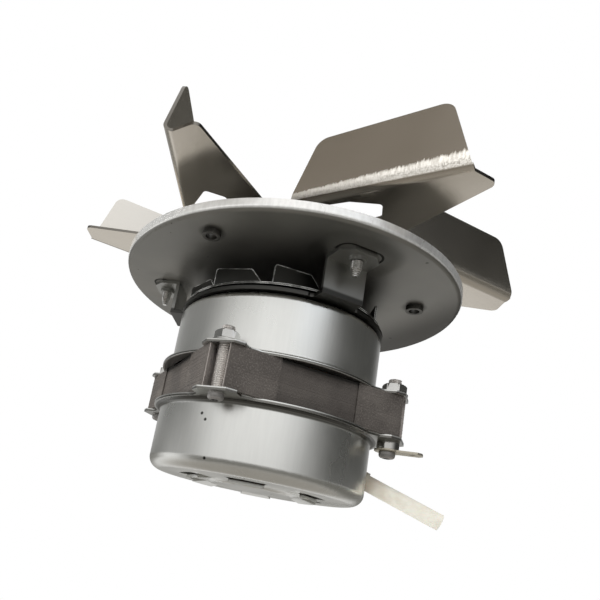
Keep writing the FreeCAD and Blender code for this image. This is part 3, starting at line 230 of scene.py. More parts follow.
FLANGE_RADIUS = 72.0 * MM
FLANGE_UNDERSIDE = -1.5 * MM
EDGE_BREAK = 0.2 * MM
SHARP_EDGE = radians(32)
FOOT_ANGLES = (-90, 30, 150)
FOOT_SCREW_CIRCLE = 54.5 * MM
FOOT_MIDDLE = 53.2 * MM
FOOT_HALF = (6.2 * MM, 8.5 * MM)
FOOT_CORNER = 4.0 * MM
COLLARS = [(-49 * MM, -34 * MM), (42.8 * MM, -34 * MM), (0, 57 * MM)]
COLLAR_DARKENING = (3.2 * MM, 6.0 * MM)
SHADED_SIDE = (40 * MM, 62 * MM)
RUBBED_AND_LIT_RIM = (FLANGE_RADIUS - 0.55 * MM, FLANGE_RADIUS - 0.2 * MM)
FOOT_RING = (1.0 * MM, 0.7 * MM)
DISH = (0.7 * MM, 9.0 * MM)
# Near-black for real soot specks, and also for painted shade under and between parts.
SOOT_AND_SHADE = (0.03, 0.029, 0.026)


def flange_finish():
    material, tree, shader, spot = new_finish("plated_flange_sheet", metallic=1.0)
    skin = placed(tree, SHEET_SKIN, spot, {"Stretch": (0.08, 1, 1), "Cloud Scale": 22.0, "Line Scale": 900.0})
    colour = mix(tree, ramp(tree, skin["Clouds"], 0.35, 0.7), (0.285, 0.282, 0.265), (0.38, 0.372, 0.348))
    axes = xyz(tree, spot)
    first = FOOT_ANGLES[1]
    turn = sector(tree, axes, radians(first - 60), radians(120), radians(first))[1]
    foot = xyz(tree, turned_back(tree, spot, turn))
    beyond = []
    for axis, middle, half in (("X", FOOT_MIDDLE, FOOT_HALF[0]), ("Y", 0.0, FOOT_HALF[1])):
        off = calc(tree, "ABSOLUTE", less(tree, foot[axis], middle))
        beyond.append(calc(tree, "MAXIMUM", less(tree, off, half - FOOT_CORNER), 0.0))
    gap = less(tree, calc(tree, "SQRT", calc(tree, "ADD", *(times(tree, off, off) for off in beyond))), FOOT_CORNER)
    # Painted shadow: a thin dark line along the outer edge of each foot, where it sits on the flange.
    dark = times(tree, ramp(tree, gap, *FOOT_RING), ramp(tree, gap, -0.1 * MM, 0.0),
                 ramp(tree, foot["X"], FOOT_MIDDLE - 0.5 * MM, FOOT_MIDDLE + 1.0 * MM))
    # The flange is darker round the seat of each collar.
    for x, y in COLLARS:
        seat = round_place(tree, spot, (x, y, FLANGE_UNDERSIDE), *COLLAR_DARKENING)
        dark = calc(tree, "MAXIMUM", dark, times(tree, seat, 0.6))
    # Painted shade: the flange darkens towards +X, up to about two thirds of the way to near-black.
    side_shade = ramp(tree, axes["X"], *SHADED_SIDE, 0.0, 0.68)
    dark = calc(tree, "MAXIMUM", dark, side_shade)
    colour = mix(tree, dark, colour, SOOT_AND_SHADE)
    # The rim's outer face is rubbed bright and is also painted lighter, as a painted highlight.
    rim = ramp(tree, from_axis(tree, spot), *RUBBED_AND_LIT_RIM)
    rubs = noise(tree, stretched(tree, spot, (1, 1, 0.4)), 700.0, 4.0)
    bright = mix(tree, ramp(tree, rubs, 0.3, 0.7), (0.76, 0.75, 0.72), (0.87, 0.86, 0.83))
    colour = mix(tree, rim, colour, bright)
    marks = placed(tree, HANDLING_MARKS, spot, {"Speck Share": 0.006})
    colour = mix(tree, marks["Marks"], colour, SOOT_AND_SHADE)
    dish = relief(tree, 1.0, DISH[0], ramp(tree, gap, FOOT_RING[0], DISH[1]), Normal=skin["Normal"])
    feed(tree, shader, {
        "Base Color": colour, "Metallic": linear(tree, rim, -0.28, 1.0), "Normal": dish,
        "Roughness": linear(tree, rim, -0.16, ramp(tree, skin["Clouds"], 0.2, 0.8, 0.40, 0.52))})
    return material


def dress(name, material, edge=0.0):
    """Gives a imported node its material, joins its loose triangles and breaks or keeps its edges."""
    piece = nodes[name]
    piece.data.materials.clear()
    piece.data.materials.append(material)
    piece.data.shade_smooth()
    weld = piece.modifiers.new("joined_faces", "WELD")
    weld.merge_threshold = 0.002 * MM
    if edge:
        bevel = piece.modifiers.new("broken_edges", "BEVEL")
        bevel.width = edge
        bevel.segments = 2
        bevel.limit_method = "ANGLE"
        bevel.angle_limit = SHARP_EDGE
        piece.modifiers.new("even_shading", "WEIGHTED_NORMAL")
    else:
        split = piece.modifiers.new("sharp_edges", "EDGE_SPLIT")
        split.split_angle = radians(28)


dress("mounting_flange", flange_finish(), EDGE_BREAK)

# Support spider
# A plate riveted to the motor's front, with three legs bent up and three feet bent out and
# screwed under the flange. It is stamped and bent from the same plated steel, a little greener.


def plated_finish(name, pale, deep, rough, stretch=(1, 1, 1), specks=0.012):
    """Zinc plating or bare metal, between two greys and two roughnesses."""
    material, tree, shader, spot = new_finish(name, metallic=1.0)
    skin = placed(tree, SHEET_SKIN, spot, {"Stretch": stretch})
    colour = mix(tree, ramp(tree, skin["Clouds"], 0.3, 0.72), deep, pale)
    colour = mix(tree, ramp(tree, skin["Lines"], 0.3, 0.7, 0.0, 0.25), colour, deep)
    marks = placed(tree, HANDLING_MARKS, spot, {"Speck Share": specks})
    colour = mix(tree, marks["Marks"], colour, SOOT_AND_SHADE)
    feed(tree, shader, {"Base Color": colour, "Roughness": ramp(tree, skin["Clouds"], 0.2, 0.8, *rough),
                        "Normal": skin["Normal"]})
    return material


def toned_below(material, start, full, share, tone):
    """A finish blended towards a tone, from none at one level to a share at a lower one."""
    tree = material.node_tree
    base = tree.nodes["Principled BSDF"].inputs["Base Color"]
    toned = ramp(tree, xyz(tree, here(tree))["Z"], start, full, 0.0, share)
    tree.links.new(mix(tree, toned, base.links[0].from_socket, tone), base)
    return material


LEG_FOOT = -14.0 * MM
SPIDER_PLATE_TOP = -15.2 * MM
SPIDER_SHEET = plated_finish("plated_spider_sheet", (0.47, 0.475, 0.45), (0.38, 0.38, 0.365), (0.34, 0.46),
                             stretch=(1, 1, 0.06))
# Painted shade: below the legs, the spider's plate is darkened most of the way to near-black.
dress("support_spider", toned_below(SPIDER_SHEET, LEG_FOOT, SPIDER_PLATE_TOP, 0.85, SOOT_AND_SHADE), EDGE_BREAK)

# Foot screws
# Three zinc-plated pan-head screws, driven from the oven side through the flange into the feet.
# The heads have a cross recess; the threads end in a short point below the feet.


def finished_mesh(name, work):
    """The mesh of a finished piece of work."""
    mesh = bpy.data.meshes.new(name)
    work.to_mesh(mesh)
    work.free()
    return mesh


def turned(name, rows, segments=40, ring=False):
    """A turned piece from (reach, level) rows; a reach may be a function of the angle round the axis."""
    work = bmesh.new()
    loops = []
    for reach, level in rows:
        if reach == 0:
            loops.append([work.verts.new((0, 0, level))])
            continue
        loop = []
        for step in range(segments):
            angle = 2 * pi * step / segments
            out = reach(angle) if callable(reach) else reach
            loop.append(work.verts.new((out * cos(angle), out * sin(angle), level)))
        loops.append(loop)
    pairs = list(zip(loops, loops[1:])) + ([(loops[-1], loops[0])] if ring else [])
    for lower, upper in pairs:
        for step in range(segments):
            after = (step + 1) % segments
            if len(lower) == 1:
                work.faces.new((lower[0], upper[after], upper[step]))
            elif len(upper) == 1:
                work.faces.new((lower[step], lower[after], upper[0]))
            else:
                work.faces.new((lower[step], lower[after], upper[after], upper[step]))
    bmesh.ops.recalc_face_normals(work, faces=work.faces)
    return finished_mesh(name, work)


def joined_mesh(name, meshes):
    """Several meshes as one."""
    work = bmesh.new()
    for mesh in meshes:
        work.from_mesh(mesh)
    return finished_mesh(name, work)


def shown(name, mesh):
    """An object at the origin for a mesh."""
    piece = bpy.data.objects.new(name, mesh)
    bpy.context.scene.collection.objects.link(piece)
    return piece


def plain_mesh(piece):
    """The piece's mesh after its modifiers."""
    bpy.context.view_layer.update()
    depsgraph = bpy.context.evaluated_depsgraph_get()
    return bpy.data.meshes.new_from_object(piece.evaluated_get(depsgraph), depsgraph=depsgraph)


def new_geometry_tree(name, inputs):
    """An empty geometry tree with named inputs, the last of them its material."""
    return new_group(name, inputs | {"Finish": "Material"}, {"Geometry": "Geometry"}, "GeometryNodeTree")


def grown(name, tree, values):
    """A piece made by a geometry tree with the given input values, as a plain mesh."""
    piece = shown(name, bpy.data.meshes.new(name))
    modifier = piece.modifiers.new(tree.name, "NODES")
    modifier.node_group = tree
    for item in tree.interface.items_tree:
        if item.in_out == "INPUT" and item.name in values:
            modifier[item.identifier] = values[item.name]
    mesh = plain_mesh(piece)
    piece.modifiers.remove(modifier)
    piece.data = mesh
    mesh.name = name
    return piece


def finished_end(tree, geometry, given, made):
    """The last steps of every geometry tree: real faces with their material."""
    real = add(tree, "GeometryNodeRealizeInstances", {0: geometry})
    dressed = add(tree, "GeometryNodeSetMaterial", {0: real.outputs[0], "Material": given["Finish"]})
    tree.links.new(dressed.outputs[0], made["Geometry"])


def round_spot(tree, reach, angle, level):
    """The place at an angle round the axis."""
    return add(tree, "CombineXYZ", {
        0: times(tree, reach, calc(tree, "COSINE", angle)), 1: times(tree, reach, calc(tree, "SINE", angle)),
        2: level}).outputs[0]


def thread_tree():
    """A threaded rod along Z, closed at both ends, with a tapered point at its low end."""
    tree, given, made = new_geometry_tree("threaded_rod", {
        "Low": 0.0, "High": 10 * MM, "Radius": 2 * MM, "Depth": 0.35 * MM, "Pitch": 0.7 * MM, "Point": 1 * MM,
        "Tip": 0.6, "Rows": 64})
    segments = 24
    net = add(tree, "GeometryNodeMeshGrid", {
        "Size X": 1.0, "Size Y": 1.0, "Vertices X": given["Rows"], "Vertices Y": segments + 1})
    axes = xyz(tree, add(tree, "GeometryNodeInputPosition").outputs[0])
    last = less(tree, given["Rows"], 1.0)
    row = calc(tree, "ROUND", times(tree, calc(tree, "ADD", axes["X"], 0.5), last))
    share = add(tree, "MapRange", {0: row, 1: 1.0, 2: less(tree, last, 1.0)}).outputs[0]
    rise = times(tree, share, less(tree, given["High"], given["Low"]))
    level = calc(tree, "ADD", rise, given["Low"])
    round_share = calc(tree, "ADD", axes["Y"], 0.5)
    phase = calc(tree, "FRACT", less(tree, calc(tree, "DIVIDE", level, given["Pitch"]), round_share))
    flank = calc(tree, "ABSOLUTE", linear(tree, phase, 2.0, -1.0))
    reach = less(tree, given["Radius"], times(tree, flank, given["Depth"]))
    taper = add(tree, "MapRange", {0: rise, 1: 0.0, 2: given["Point"], 3: given["Tip"], 4: 1.0}).outputs[0]
    middle = times(tree, calc(tree, "GREATER_THAN", row, 0.5), calc(tree, "LESS_THAN", row, less(tree, last, 0.5)))
    reach = times(tree, reach, taper, middle)
    angle = times(tree, round_share, 2 * pi)
    wound = add(tree, "GeometryNodeSetPosition", {
        0: net.outputs["Mesh"], "Position": round_spot(tree, reach, angle, level)})
    closed = add(tree, "GeometryNodeMergeByDistance", {0: wound.outputs[0], "Distance": 0.001 * MM})
    outward = add(tree, "GeometryNodeFlipFaces", {0: closed.outputs[0]})
    finished_end(tree, outward.outputs[0], given, made)
    return tree


def copied_pattern(tree, spot, turn, given, made):
    """Copies of the pattern piece at a place that depends on the copy's number."""
    points = add(tree, "GeometryNodePoints", {"Count": given["Count"], "Position": spot})
    pattern = add(tree, "GeometryNodeObjectInfo", {"Object": given["Pattern"], "As Instance": True})
    copies = add(tree, "GeometryNodeInstanceOnPoints", {
        "Points": points.outputs[0], "Instance": pattern.outputs["Geometry"], **turn})
    finished_end(tree, copies.outputs[0], given, made)


def copies_tree():
    """Copies of a pattern piece on a circle round the motor axis."""
    tree, given, made = new_geometry_tree("copies_round_the_axis", {
        "Pattern": "Object", "Count": 3, "Circle Radius": 50 * MM, "First Angle": 0.0, "Step": 1.0})
    number = add(tree, "GeometryNodeInputIndex").outputs[0]
    angle = linear(tree, number, given["Step"], given["First Angle"])
    spot = round_spot(tree, given["Circle Radius"], angle, 0.0)
    turn = add(tree, "CombineXYZ", {2: angle})
    copied_pattern(tree, spot, {"Rotation": turn.outputs[0]}, given, made)
    return tree


THREADED_ROD = thread_tree()
COPIES = copies_tree()


def threaded_rod(name, low, high, radius, pitch, point=0.01 * MM, tip=1.0):
    """The mesh of a threaded rod between two levels."""
    piece = grown(name, THREADED_ROD, {
        "Low": low, "High": high, "Radius": radius, "Depth": 0.4 * pitch, "Pitch": pitch,
        "Point": point, "Tip": tip, "Rows": 3 + round(4 * (high - low) / pitch)})
    mesh = piece.data
    bpy.data.objects.remove(piece)
    return mesh


def sharpened(piece):
    """Smooth shading that keeps the sharp edges."""
    piece.data.shade_smooth()
    piece.data.set_sharp_from_angle(angle=SHARP_EDGE)


def set_of_copies(name, pattern_mesh, circle, angles, finish):
    """Copies of one mesh at even angles on a circle, as one piece."""
    pattern = shown(name + "_pattern", pattern_mesh)
    step = angles[1] - angles[0] if len(angles) > 1 else 0
    piece = grown(name, COPIES, {
        "Pattern": pattern, "Count": len(angles), "Circle Radius": circle,
        "First Angle": radians(angles[0]), "Step": radians(step), "Finish": finish})
    bpy.data.objects.remove(pattern)
    sharpened(piece)
    return piece


def sunk(mesh, tool):
    """A mesh with a tool's shape cut out of it."""
    blank, cutter = shown("blank", mesh), shown("cutter", tool)
    cut = blank.modifiers.new("recess", "BOOLEAN")
    cut.object = cutter
    cut.solver = "EXACT"
    result = plain_mesh(blank)
    for piece in (blank, cutter):
        bpy.data.objects.remove(piece)
    return result


def cross_tool(arm, width, low, high):
    """Two crossed bars, pointed below, that leave a cross recess."""
    bars = []
    for turn in (0, 90):
        work = bmesh.new()
        bmesh.ops.create_cube(work, size=1.0)
        for corner in work.verts:
            narrow = 0.35 if corner.co.z < 0 else 1.0
            corner.co = Vector((corner.co.x * 2 * arm * narrow, corner.co.y * width * narrow,
                                low if corner.co.z < 0 else high))
        work.transform(Matrix.Rotation(radians(turn), 4, "Z"))
        bars.append(finished_mesh("bar", work))
    return bars


BRIGHT_ZINC = plated_finish("bright_zinc", (0.76, 0.75, 0.72), (0.50, 0.495, 0.48), (0.13, 0.24), specks=0.004)
SCREW_RADIUS = 2.2 * MM
SCREW_LOW = -10.3 * MM
SCREW_HEAD = 4.4 * MM
SCREW_PITCH = 0.7 * MM
CROSS = {"arm": 2.1 * MM, "width": 0.8 * MM, "low": 0.6 * MM, "high": 2.4 * MM}
head = turned("screw_head", [
    (0, 0), (SCREW_HEAD, 0), (SCREW_HEAD, 0.7 * MM), (0.96 * SCREW_HEAD, 1.15 * MM), (0.86 * SCREW_HEAD, 1.55 * MM),
    (0.7 * SCREW_HEAD, 1.82 * MM), (0.45 * SCREW_HEAD, 1.95 * MM), (0, 2.0 * MM)])
for bar in cross_tool(**CROSS):
    head = sunk(head, bar)
thread = threaded_rod("screw_thread", SCREW_LOW, 0.3 * MM, SCREW_RADIUS, SCREW_PITCH, point=2.8 * MM, tip=0.45)
screws = set_of_copies("foot_screws", joined_mesh("foot_screw", [head, thread]), FOOT_SCREW_CIRCLE,
                       FOOT_ANGLES, BRIGHT_ZINC)
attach(screws, "root")
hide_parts("flange_screws")

# Spider rivets
# Three steel rivets, set cold through the spider's plate and the crown of the front shell,
# with low round heads on both sides.

RIVET_CIRCLE = 31.0 * MM
RIVET_LEVELS = (-15.3 * MM, -18.0 * MM)
RIVET_HEAD = 3.4 * MM
RIVET_SHANK = 2.0 * MM
top, low = RIVET_LEVELS
rise = 0.6 * MM
rivet = turned("rivet", [
    (0, low - rise), (0.55 * RIVET_HEAD, low - 0.95 * rise), (0.85 * RIVET_HEAD, low - 0.65 * rise),
    (RIVET_HEAD, low - 0.1 * rise), (RIVET_HEAD, low), (RIVET_SHANK, low), (RIVET_SHANK, top), (RIVET_HEAD, top),
    (RIVET_HEAD, top + 0.1 * rise), (0.85 * RIVET_HEAD, top + 0.65 * rise), (0.55 * RIVET_HEAD, top + 0.95 * rise),
    (0, top + rise)], segments=28)
rivets = set_of_copies("plate_rivets", rivet, RIVET_CIRCLE, (90, 210, 330), BRIGHT_ZINC)
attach(rivets, "root")
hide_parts("spider_rivets")

# Cooling wheel
# A small disc of aluminium sheet with flaps bent up, pressed on an aluminium hub between the
# spider and the flange. It draws air over the motor. Its faces are painted dark as shade, and
# its edges carry painted highlights in patches.

EDGE_HIGHLIGHT_RADIUS = 0.7 * MM


def face_normal(tree):
    """The normal of the face itself, before any smoothing."""
    return add(tree, "NewGeometry").outputs["True Normal"]


def flap_finish():
    material, tree, shader, spot = new_finish("shaded_aluminium_sheet", metallic=1.0)
    skin = placed(tree, SHEET_SKIN, spot, {"Stretch": (0.06, 1, 1)})
    # Painted shade: the sheet's faces are kept very dark.
    colour = mix(tree, ramp(tree, skin["Clouds"], 0.3, 0.72), (0.055, 0.055, 0.051), (0.10, 0.10, 0.094))
    # Painted highlight: pale, less metallic edges wherever the rounded normal leaves the face's own, in patches.
    rounded = add(tree, "Bevel", {"Radius": EDGE_HIGHLIGHT_RADIUS}, samples=6)
    likeness = add(tree, "VectorMath", {0: rounded.outputs[0], 1: face_normal(tree)},
                   operation="DOT_PRODUCT")
    edge_highlight = ramp(tree, likeness.outputs["Value"], 0.99, 0.93)
    patchy = noise(tree, spot, 260.0, 2.0)
    edge_highlight = times(tree, edge_highlight, ramp(tree, patchy, 0.35, 0.6, 0.25, 1.0))
    colour = mix(tree, edge_highlight, colour, (0.85, 0.85, 0.81))
    feed(tree, shader, {
        "Base Color": colour, "Roughness": ramp(tree, skin["Clouds"], 0.2, 0.8, 0.34, 0.48),
        "Normal": skin["Normal"], "Metallic": linear(tree, edge_highlight, -0.6, 1.0)})
    return material


dress("cooling_wheel", flap_finish())
CAST_ALUMINIUM = plated_finish("cast_aluminium", (0.62, 0.62, 0.62), (0.46, 0.46, 0.46), (0.4, 0.55))
dress("cooling_hub", CAST_ALUMINIUM)

# Motor shells
# Two cups drawn from steel sheet and plated with zinc. The front one holds the front bearing;
# the rear one has a proud centre and six louvred vents. Four ears on each take the tie bolts.

SHELL_SPECKS = [(-145.0, -66.0), (-142.5, -68.2), (-139.0, -82.0), (-60.0, -33.0)]
REAR_RADIUS = 44.0 * MM
EAR_LOW = -60.2 * MM
LIP_LEVELS = (-43.0 * MM, EAR_LOW)
LIP_SHADE = (-63.0 * MM, -62.0 * MM)
LIP_REACH = (46.2 * MM, 45.8 * MM)
NECK_SHADE = (-62.2 * MM, -61.3 * MM)
NECK_TOP = -60.1 * MM
NECK_REACH = 45.4 * MM


def shell_finish():
    material, tree, shader, spot = new_finish("plated_shell", metallic=1.0)
    skin = placed(tree, SHEET_SKIN, spot, {"Stretch": (1, 1, 0.09), "Cloud Scale": 48.0, "Line Scale": 900.0,
                                           "Relief": 0.03})
    colour = mix(tree, ramp(tree, skin["Clouds"], 0.3, 0.72), (0.78, 0.785, 0.755), (0.85, 0.85, 0.82))
    colour = mix(tree, ramp(tree, skin["Lines"], 0.3, 0.7, 0.0, 0.12), colour, (0.62, 0.62, 0.6))
    marks = placed(tree, HANDLING_MARKS, spot, {"Speck Scale": 420.0, "Speck Share": 0.003, "Scratch Share": 0.0})
    dark = times(tree, marks["Marks"], 0.8)
    for angle, level in SHELL_SPECKS:
        a = radians(angle)
        place = (REAR_RADIUS * cos(a), REAR_RADIUS * sin(a), level * MM)
        dark = calc(tree, "MAXIMUM", dark, round_place(tree, spot, place, 0.3 * MM, 0.8 * MM))
    colour = mix(tree, dark, colour, SOOT_AND_SHADE)
    level = xyz(tree, spot)["Z"]
    upright = xyz(tree, face_normal(tree))["Z"]
    # The outer edge faces of both lips are darker.
    edge_facing = ramp(tree, calc(tree, "ABSOLUTE", upright), 0.35, 0.2)
    lip_edges = 0.0
    for low in LIP_LEVELS:
        lip = times(tree, ramp(tree, level, low - 0.1 * MM, low), ramp(tree, level, low + 0.8 * MM, low + 0.7 * MM))
        lip_edges = calc(tree, "MAXIMUM", lip_edges, lip)
    colour = mix(tree, times(tree, edge_facing, lip_edges), colour, (0.20, 0.195, 0.18))
    away = from_axis(tree, spot)
    shaded = times(tree, ramp(tree, upright, -0.3, -0.7), ramp(tree, level, *LIP_SHADE),
                   ramp(tree, away, *LIP_REACH, 0.45, 1.0))
    neck = times(tree, ramp(tree, level, *NECK_SHADE), calc(tree, "LESS_THAN", level, NECK_TOP),
                 calc(tree, "LESS_THAN", away, NECK_REACH))
    shaded = calc(tree, "MAXIMUM", shaded, times(tree, neck, 0.85))
    colour = mix(tree, times(tree, shaded, 0.9), colour, SOOT_AND_SHADE)
    feed(tree, shader, {"Base Color": colour, "Roughness": ramp(tree, skin["Clouds"], 0.2, 0.8, 0.25, 0.34),
                        "Normal": skin["Normal"]})
    return material


SHELL_FINISH = shell_finish()
dress("front_shell", SHELL_FINISH, EDGE_BREAK)
dress("rear_shell", SHELL_FINISH, EDGE_BREAK)

# Stator core
# A pack of varnished silicon steel sheets, punched square with cut corners, open grooves for
# the tie bolts and twelve winding slots, and clamped between the shells.

SHEET_COUNT = 32
SHEET_STEP = 0.5 * MM
SHEET_THICKNESS = 0.47 * MM
SHEET_WANDER = 0.04 * MM
PACK_LOW = -59.0 * MM
CORNER = [(55.147, 4.25), (41.012, 18.385), (40.658, 18.031)]
GROOVE = [(3.7, 55.147), (3.7, 49.15), (1.85, 47.3)]
QUADRANT = CORNER + [(y, x) for x, y in reversed(CORNER)] + GROOVE + [(-x, y) for x, y in reversed(GROOVE)]
BORE_RADIUS = 22.4
SLOT_SIDE = [(24.0, 1.1), (24.0, 2.6), (30.4, 2.6), (33.0, 1.3)]
SIDE_MIDDLE = (16.4 * MM, 16.0 * MM)
GROOVE_DEPTH = (46.8 * MM, 47.4 * MM)
GROOVE_HALF = (4.0 * MM, 3.8 * MM)
UNDER_LIP = (-44.6 * MM, -43.5 * MM)


def quarter_turned(points, turn):
    """Points turned about the axis."""
    c, s = cos(turn), sin(turn)
    return [(x * c - y * s, x * s + y * c) for x, y in points]


def lamination_mesh():
    """One punched sheet with its bore, slots and grooves."""
    outer, inner = [], []
    for quarter in range(4):
        outer += quarter_turned(QUADRANT, radians(45 + 90 * quarter))
    for number in range(12):
        mouth = asin(SLOT_SIDE[0][1] / BORE_RADIUS)
        rim = [(BORE_RADIUS * cos(a), BORE_RADIUS * sin(a)) for a in (-mouth, mouth)]
        slot = [rim[0]] + [(x, -y) for x, y in SLOT_SIDE] + list(reversed(SLOT_SIDE)) + [rim[1]]
        land = [(BORE_RADIUS * cos(a), BORE_RADIUS * sin(a)) for a in
                (radians(10), radians(20))]
        inner += quarter_turned(slot + land, radians(45 + 30 * number))
    flat = [Vector((x * MM, y * MM, 0)) for x, y in outer], [Vector((x * MM, y * MM, 0)) for x, y in inner]
    corners = flat[0] + flat[1]
    faces = tessellate_polygon(flat)
    work = bmesh.new()
    low = [work.verts.new(corner) for corner in corners]
    high = [work.verts.new(corner + Vector((0, 0, SHEET_THICKNESS))) for corner in corners]
    for face in faces:
        work.faces.new([high[i] for i in face])
        work.faces.new([low[i] for i in reversed(face)])
    start = 0
    for loop in flat:
        for i in range(len(loop)):
            at, after = start + i, start + (i + 1) % len(loop)
            work.faces.new((low[at], low[after], high[after], high[at]))
        start += len(loop)
    bmesh.ops.recalc_face_normals(work, faces=work.faces)
    return finished_mesh("lamination", work)


def sheet_pack_tree():
    """A pack of equal sheets, each a little out of line."""
    tree, given, made = new_geometry_tree("sheet_pack", {
        "Pattern": "Object", "Count": SHEET_COUNT, "Step": SHEET_STEP, "Low": 0.0, "Wander": SHEET_WANDER,
        "Seed": 7})
    number = add(tree, "GeometryNodeInputIndex").outputs[0]
    drift = [times(tree, add(tree, "FunctionNodeRandomValue", {
        "Min": -1.0, "Max": 1.0, "ID": number, "Seed": calc(tree, "ADD", given["Seed"], extra)},
        data_type="FLOAT").outputs[1], given["Wander"]) for extra in (0, 1)]
    spot = add(tree, "CombineXYZ", {
        0: drift[0], 1: drift[1], 2: linear(tree, number, given["Step"], given["Low"])})
    copied_pattern(tree, spot.outputs[0], {}, given, made)
    return tree


def lamination_finish():
    material, tree, shader, spot = new_finish("varnished_laminations", metallic=0.55)
    axes = xyz(tree, spot)
    layer = calc(tree, "FLOOR", calc(tree, "DIVIDE", axes["Z"], SHEET_STEP))
    tone = add(tree, "TexWhiteNoise", {"W": layer}, noise_dimensions="1D")
    rust = noise(tree, spot, 70.0, 5.0)
    colour = mix(tree, ramp(tree, rust, 0.35, 0.7), (0.115, 0.101, 0.090), (0.18, 0.160, 0.142))
    colour = mix(tree, times(tree, tone.outputs[0], 0.22), colour, (0.07, 0.062, 0.056))
    sides = [calc(tree, "ABSOLUTE", axes[axis]) for axis in "XY"]
    middle = ramp(tree, calc(tree, "MINIMUM", *sides), *SIDE_MIDDLE)
    grit = noise(tree, spot, 1500.0, 3.0)
    grain = times(tree, ramp(tree, grit, 0.5, 0.66, 0.0, 0.4), linear(tree, middle, -0.8, 1.0))
    colour = mix(tree, grain, colour, (0.28, 0.25, 0.225))
    colour = mix(tree, times(tree, middle, 0.2), colour, (0.06, 0.052, 0.047))
    outward = times(tree, calc(tree, "ADD", *sides), sqrt(0.5))
    across = times(tree, calc(tree, "ABSOLUTE", less(tree, *sides)), sqrt(0.5))
    # Painted light: the walls of the tie-bolt grooves are made much lighter, as they catch the light.
    groove = times(tree, ramp(tree, outward, *GROOVE_DEPTH), ramp(tree, across, *GROOVE_HALF))
    colour = mix(tree, groove, colour, (0.46, 0.42, 0.39))
    # Painted shade: the top of each flat side is darkened under the front shell's overhanging lip.
    under_lip = times(tree, ramp(tree, axes["Z"], *UNDER_LIP), middle, 0.85)
    colour = mix(tree, under_lip, colour, SOOT_AND_SHADE)
    feed(tree, shader, {"Base Color": colour, "Roughness": ramp(tree, rust, 0.3, 0.7, 0.42, 0.58),
                        "Normal": relief(tree, 0.3, 0.1 * MM, grit)})
    return material


LAMINATIONS = lamination_finish()
sheet = shown("one_sheet", lamination_mesh())
pack = grown("lamination_pack", sheet_pack_tree(), {
    "Pattern": sheet, "Count": SHEET_COUNT, "Step": SHEET_STEP,
    "Low": PACK_LOW + 0.5 * (SHEET_STEP - SHEET_THICKNESS), "Wander": SHEET_WANDER, "Seed": 7, "Finish": LAMINATIONS})
bpy.data.objects.remove(sheet)
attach(pack, "root")
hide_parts("stator_core")

# Winding
# Enamelled copper wire, wound through the slots and brushed with varnish.


def winding_finish():
    material, tree, shader, spot = new_finish("varnished_copper_wire", metallic=0.3, roughness=0.32)
    strands = add(tree, "TexWave", {
        "Vector": spot, "Scale": 620.0, "Distortion": 2.5, "Detail": 1.0, "Detail Scale": 1.5}, bands_direction="Z")
    colour = mix(tree, strands.outputs["Fac"], (0.10, 0.03, 0.012), (0.42, 0.16, 0.06))
    feed(tree, shader, {"Base Color": colour, "Normal": relief(tree, 0.7, 0.3 * MM, strands.outputs["Fac"])})
    return material


dress("stator_winding", winding_finish())

# Tie bolts and their nuts
# Four M5 bolts of zinc-plated steel hold both shells on the laminations, with round socket
# heads at the rear and hexagon nuts with a pressed flange at the front. One also holds the earth tab.

BOLT_CIRCLE = 51.0 * MM
BOLT_RADIUS = 2.5 * MM
BOLT_HEAD = 3.0 * MM
BOLT_PITCH = 0.8 * MM
BOLT_PAST_EAR = 6.2 * MM
SOCKET_FLATS = 2.6 * MM
EAR_HIGH = -41.8 * MM
EARTH_DROP = 4.0 * MM
NUT_FLATS = 8.0 * MM
NUT_FLANGE = 5.2 * MM


def hexagon(flats, most):
    """The reach of a hexagon at an angle; most cuts its corners, as a share of half the flats."""
    def reach(angle):
        side = (angle % radians(60)) - radians(30)
        return min(flats / 2 / cos(side), flats / 2 * most)
    return reach


SHANK_ZINC = plated_finish("dull_zinc_thread", (0.84, 0.80, 0.76), (0.60, 0.57, 0.54), (0.28, 0.40), specks=0.0)
SHANK_ZINC.node_tree.nodes["Principled BSDF"].inputs["Metallic"].default_value = 0.7
# Painted shade: the bolt heads below the rear ears are darkened.
toned_below(SHANK_ZINC, EAR_LOW, EAR_LOW - 0.1 * MM, 0.75, (0.16, 0.155, 0.15))


def bolt_mesh(seat):
    """One bolt with its domed socket head under a seat level."""
    low = seat - 2.5 * MM
    head = turned("bolt_head", [
        (0, low), (0.5 * BOLT_HEAD, low), (0.8 * BOLT_HEAD, low + 0.25 * MM), (0.95 * BOLT_HEAD, low + 0.7 * MM),
        (BOLT_HEAD, low + 1.3 * MM), (BOLT_HEAD, seat), (0, seat)])
    socket = turned("socket", [(0, low - 1 * MM), (hexagon(SOCKET_FLATS, 2), low - 1 * MM),
                               (hexagon(SOCKET_FLATS, 2), low + 1.25 * MM), (0, low + 1.5 * MM)], segments=6)
    thread = threaded_rod("bolt_thread", seat - 0.3 * MM, EAR_HIGH + BOLT_PAST_EAR, BOLT_RADIUS, BOLT_PITCH)
    return joined_mesh("tie_bolt", [sunk(head, socket), thread])


earth_bolt = set_of_copies("earth_bolt", bolt_mesh(EAR_LOW - EARTH_DROP), BOLT_CIRCLE, (-45,), SHANK_ZINC)
plain_bolts = set_of_copies("plain_tie_bolts", bolt_mesh(EAR_LOW), BOLT_CIRCLE, (45, 135, 225), SHANK_ZINC)
for piece in (earth_bolt, plain_bolts):
    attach(piece, "root")
    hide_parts("tie_bolts")

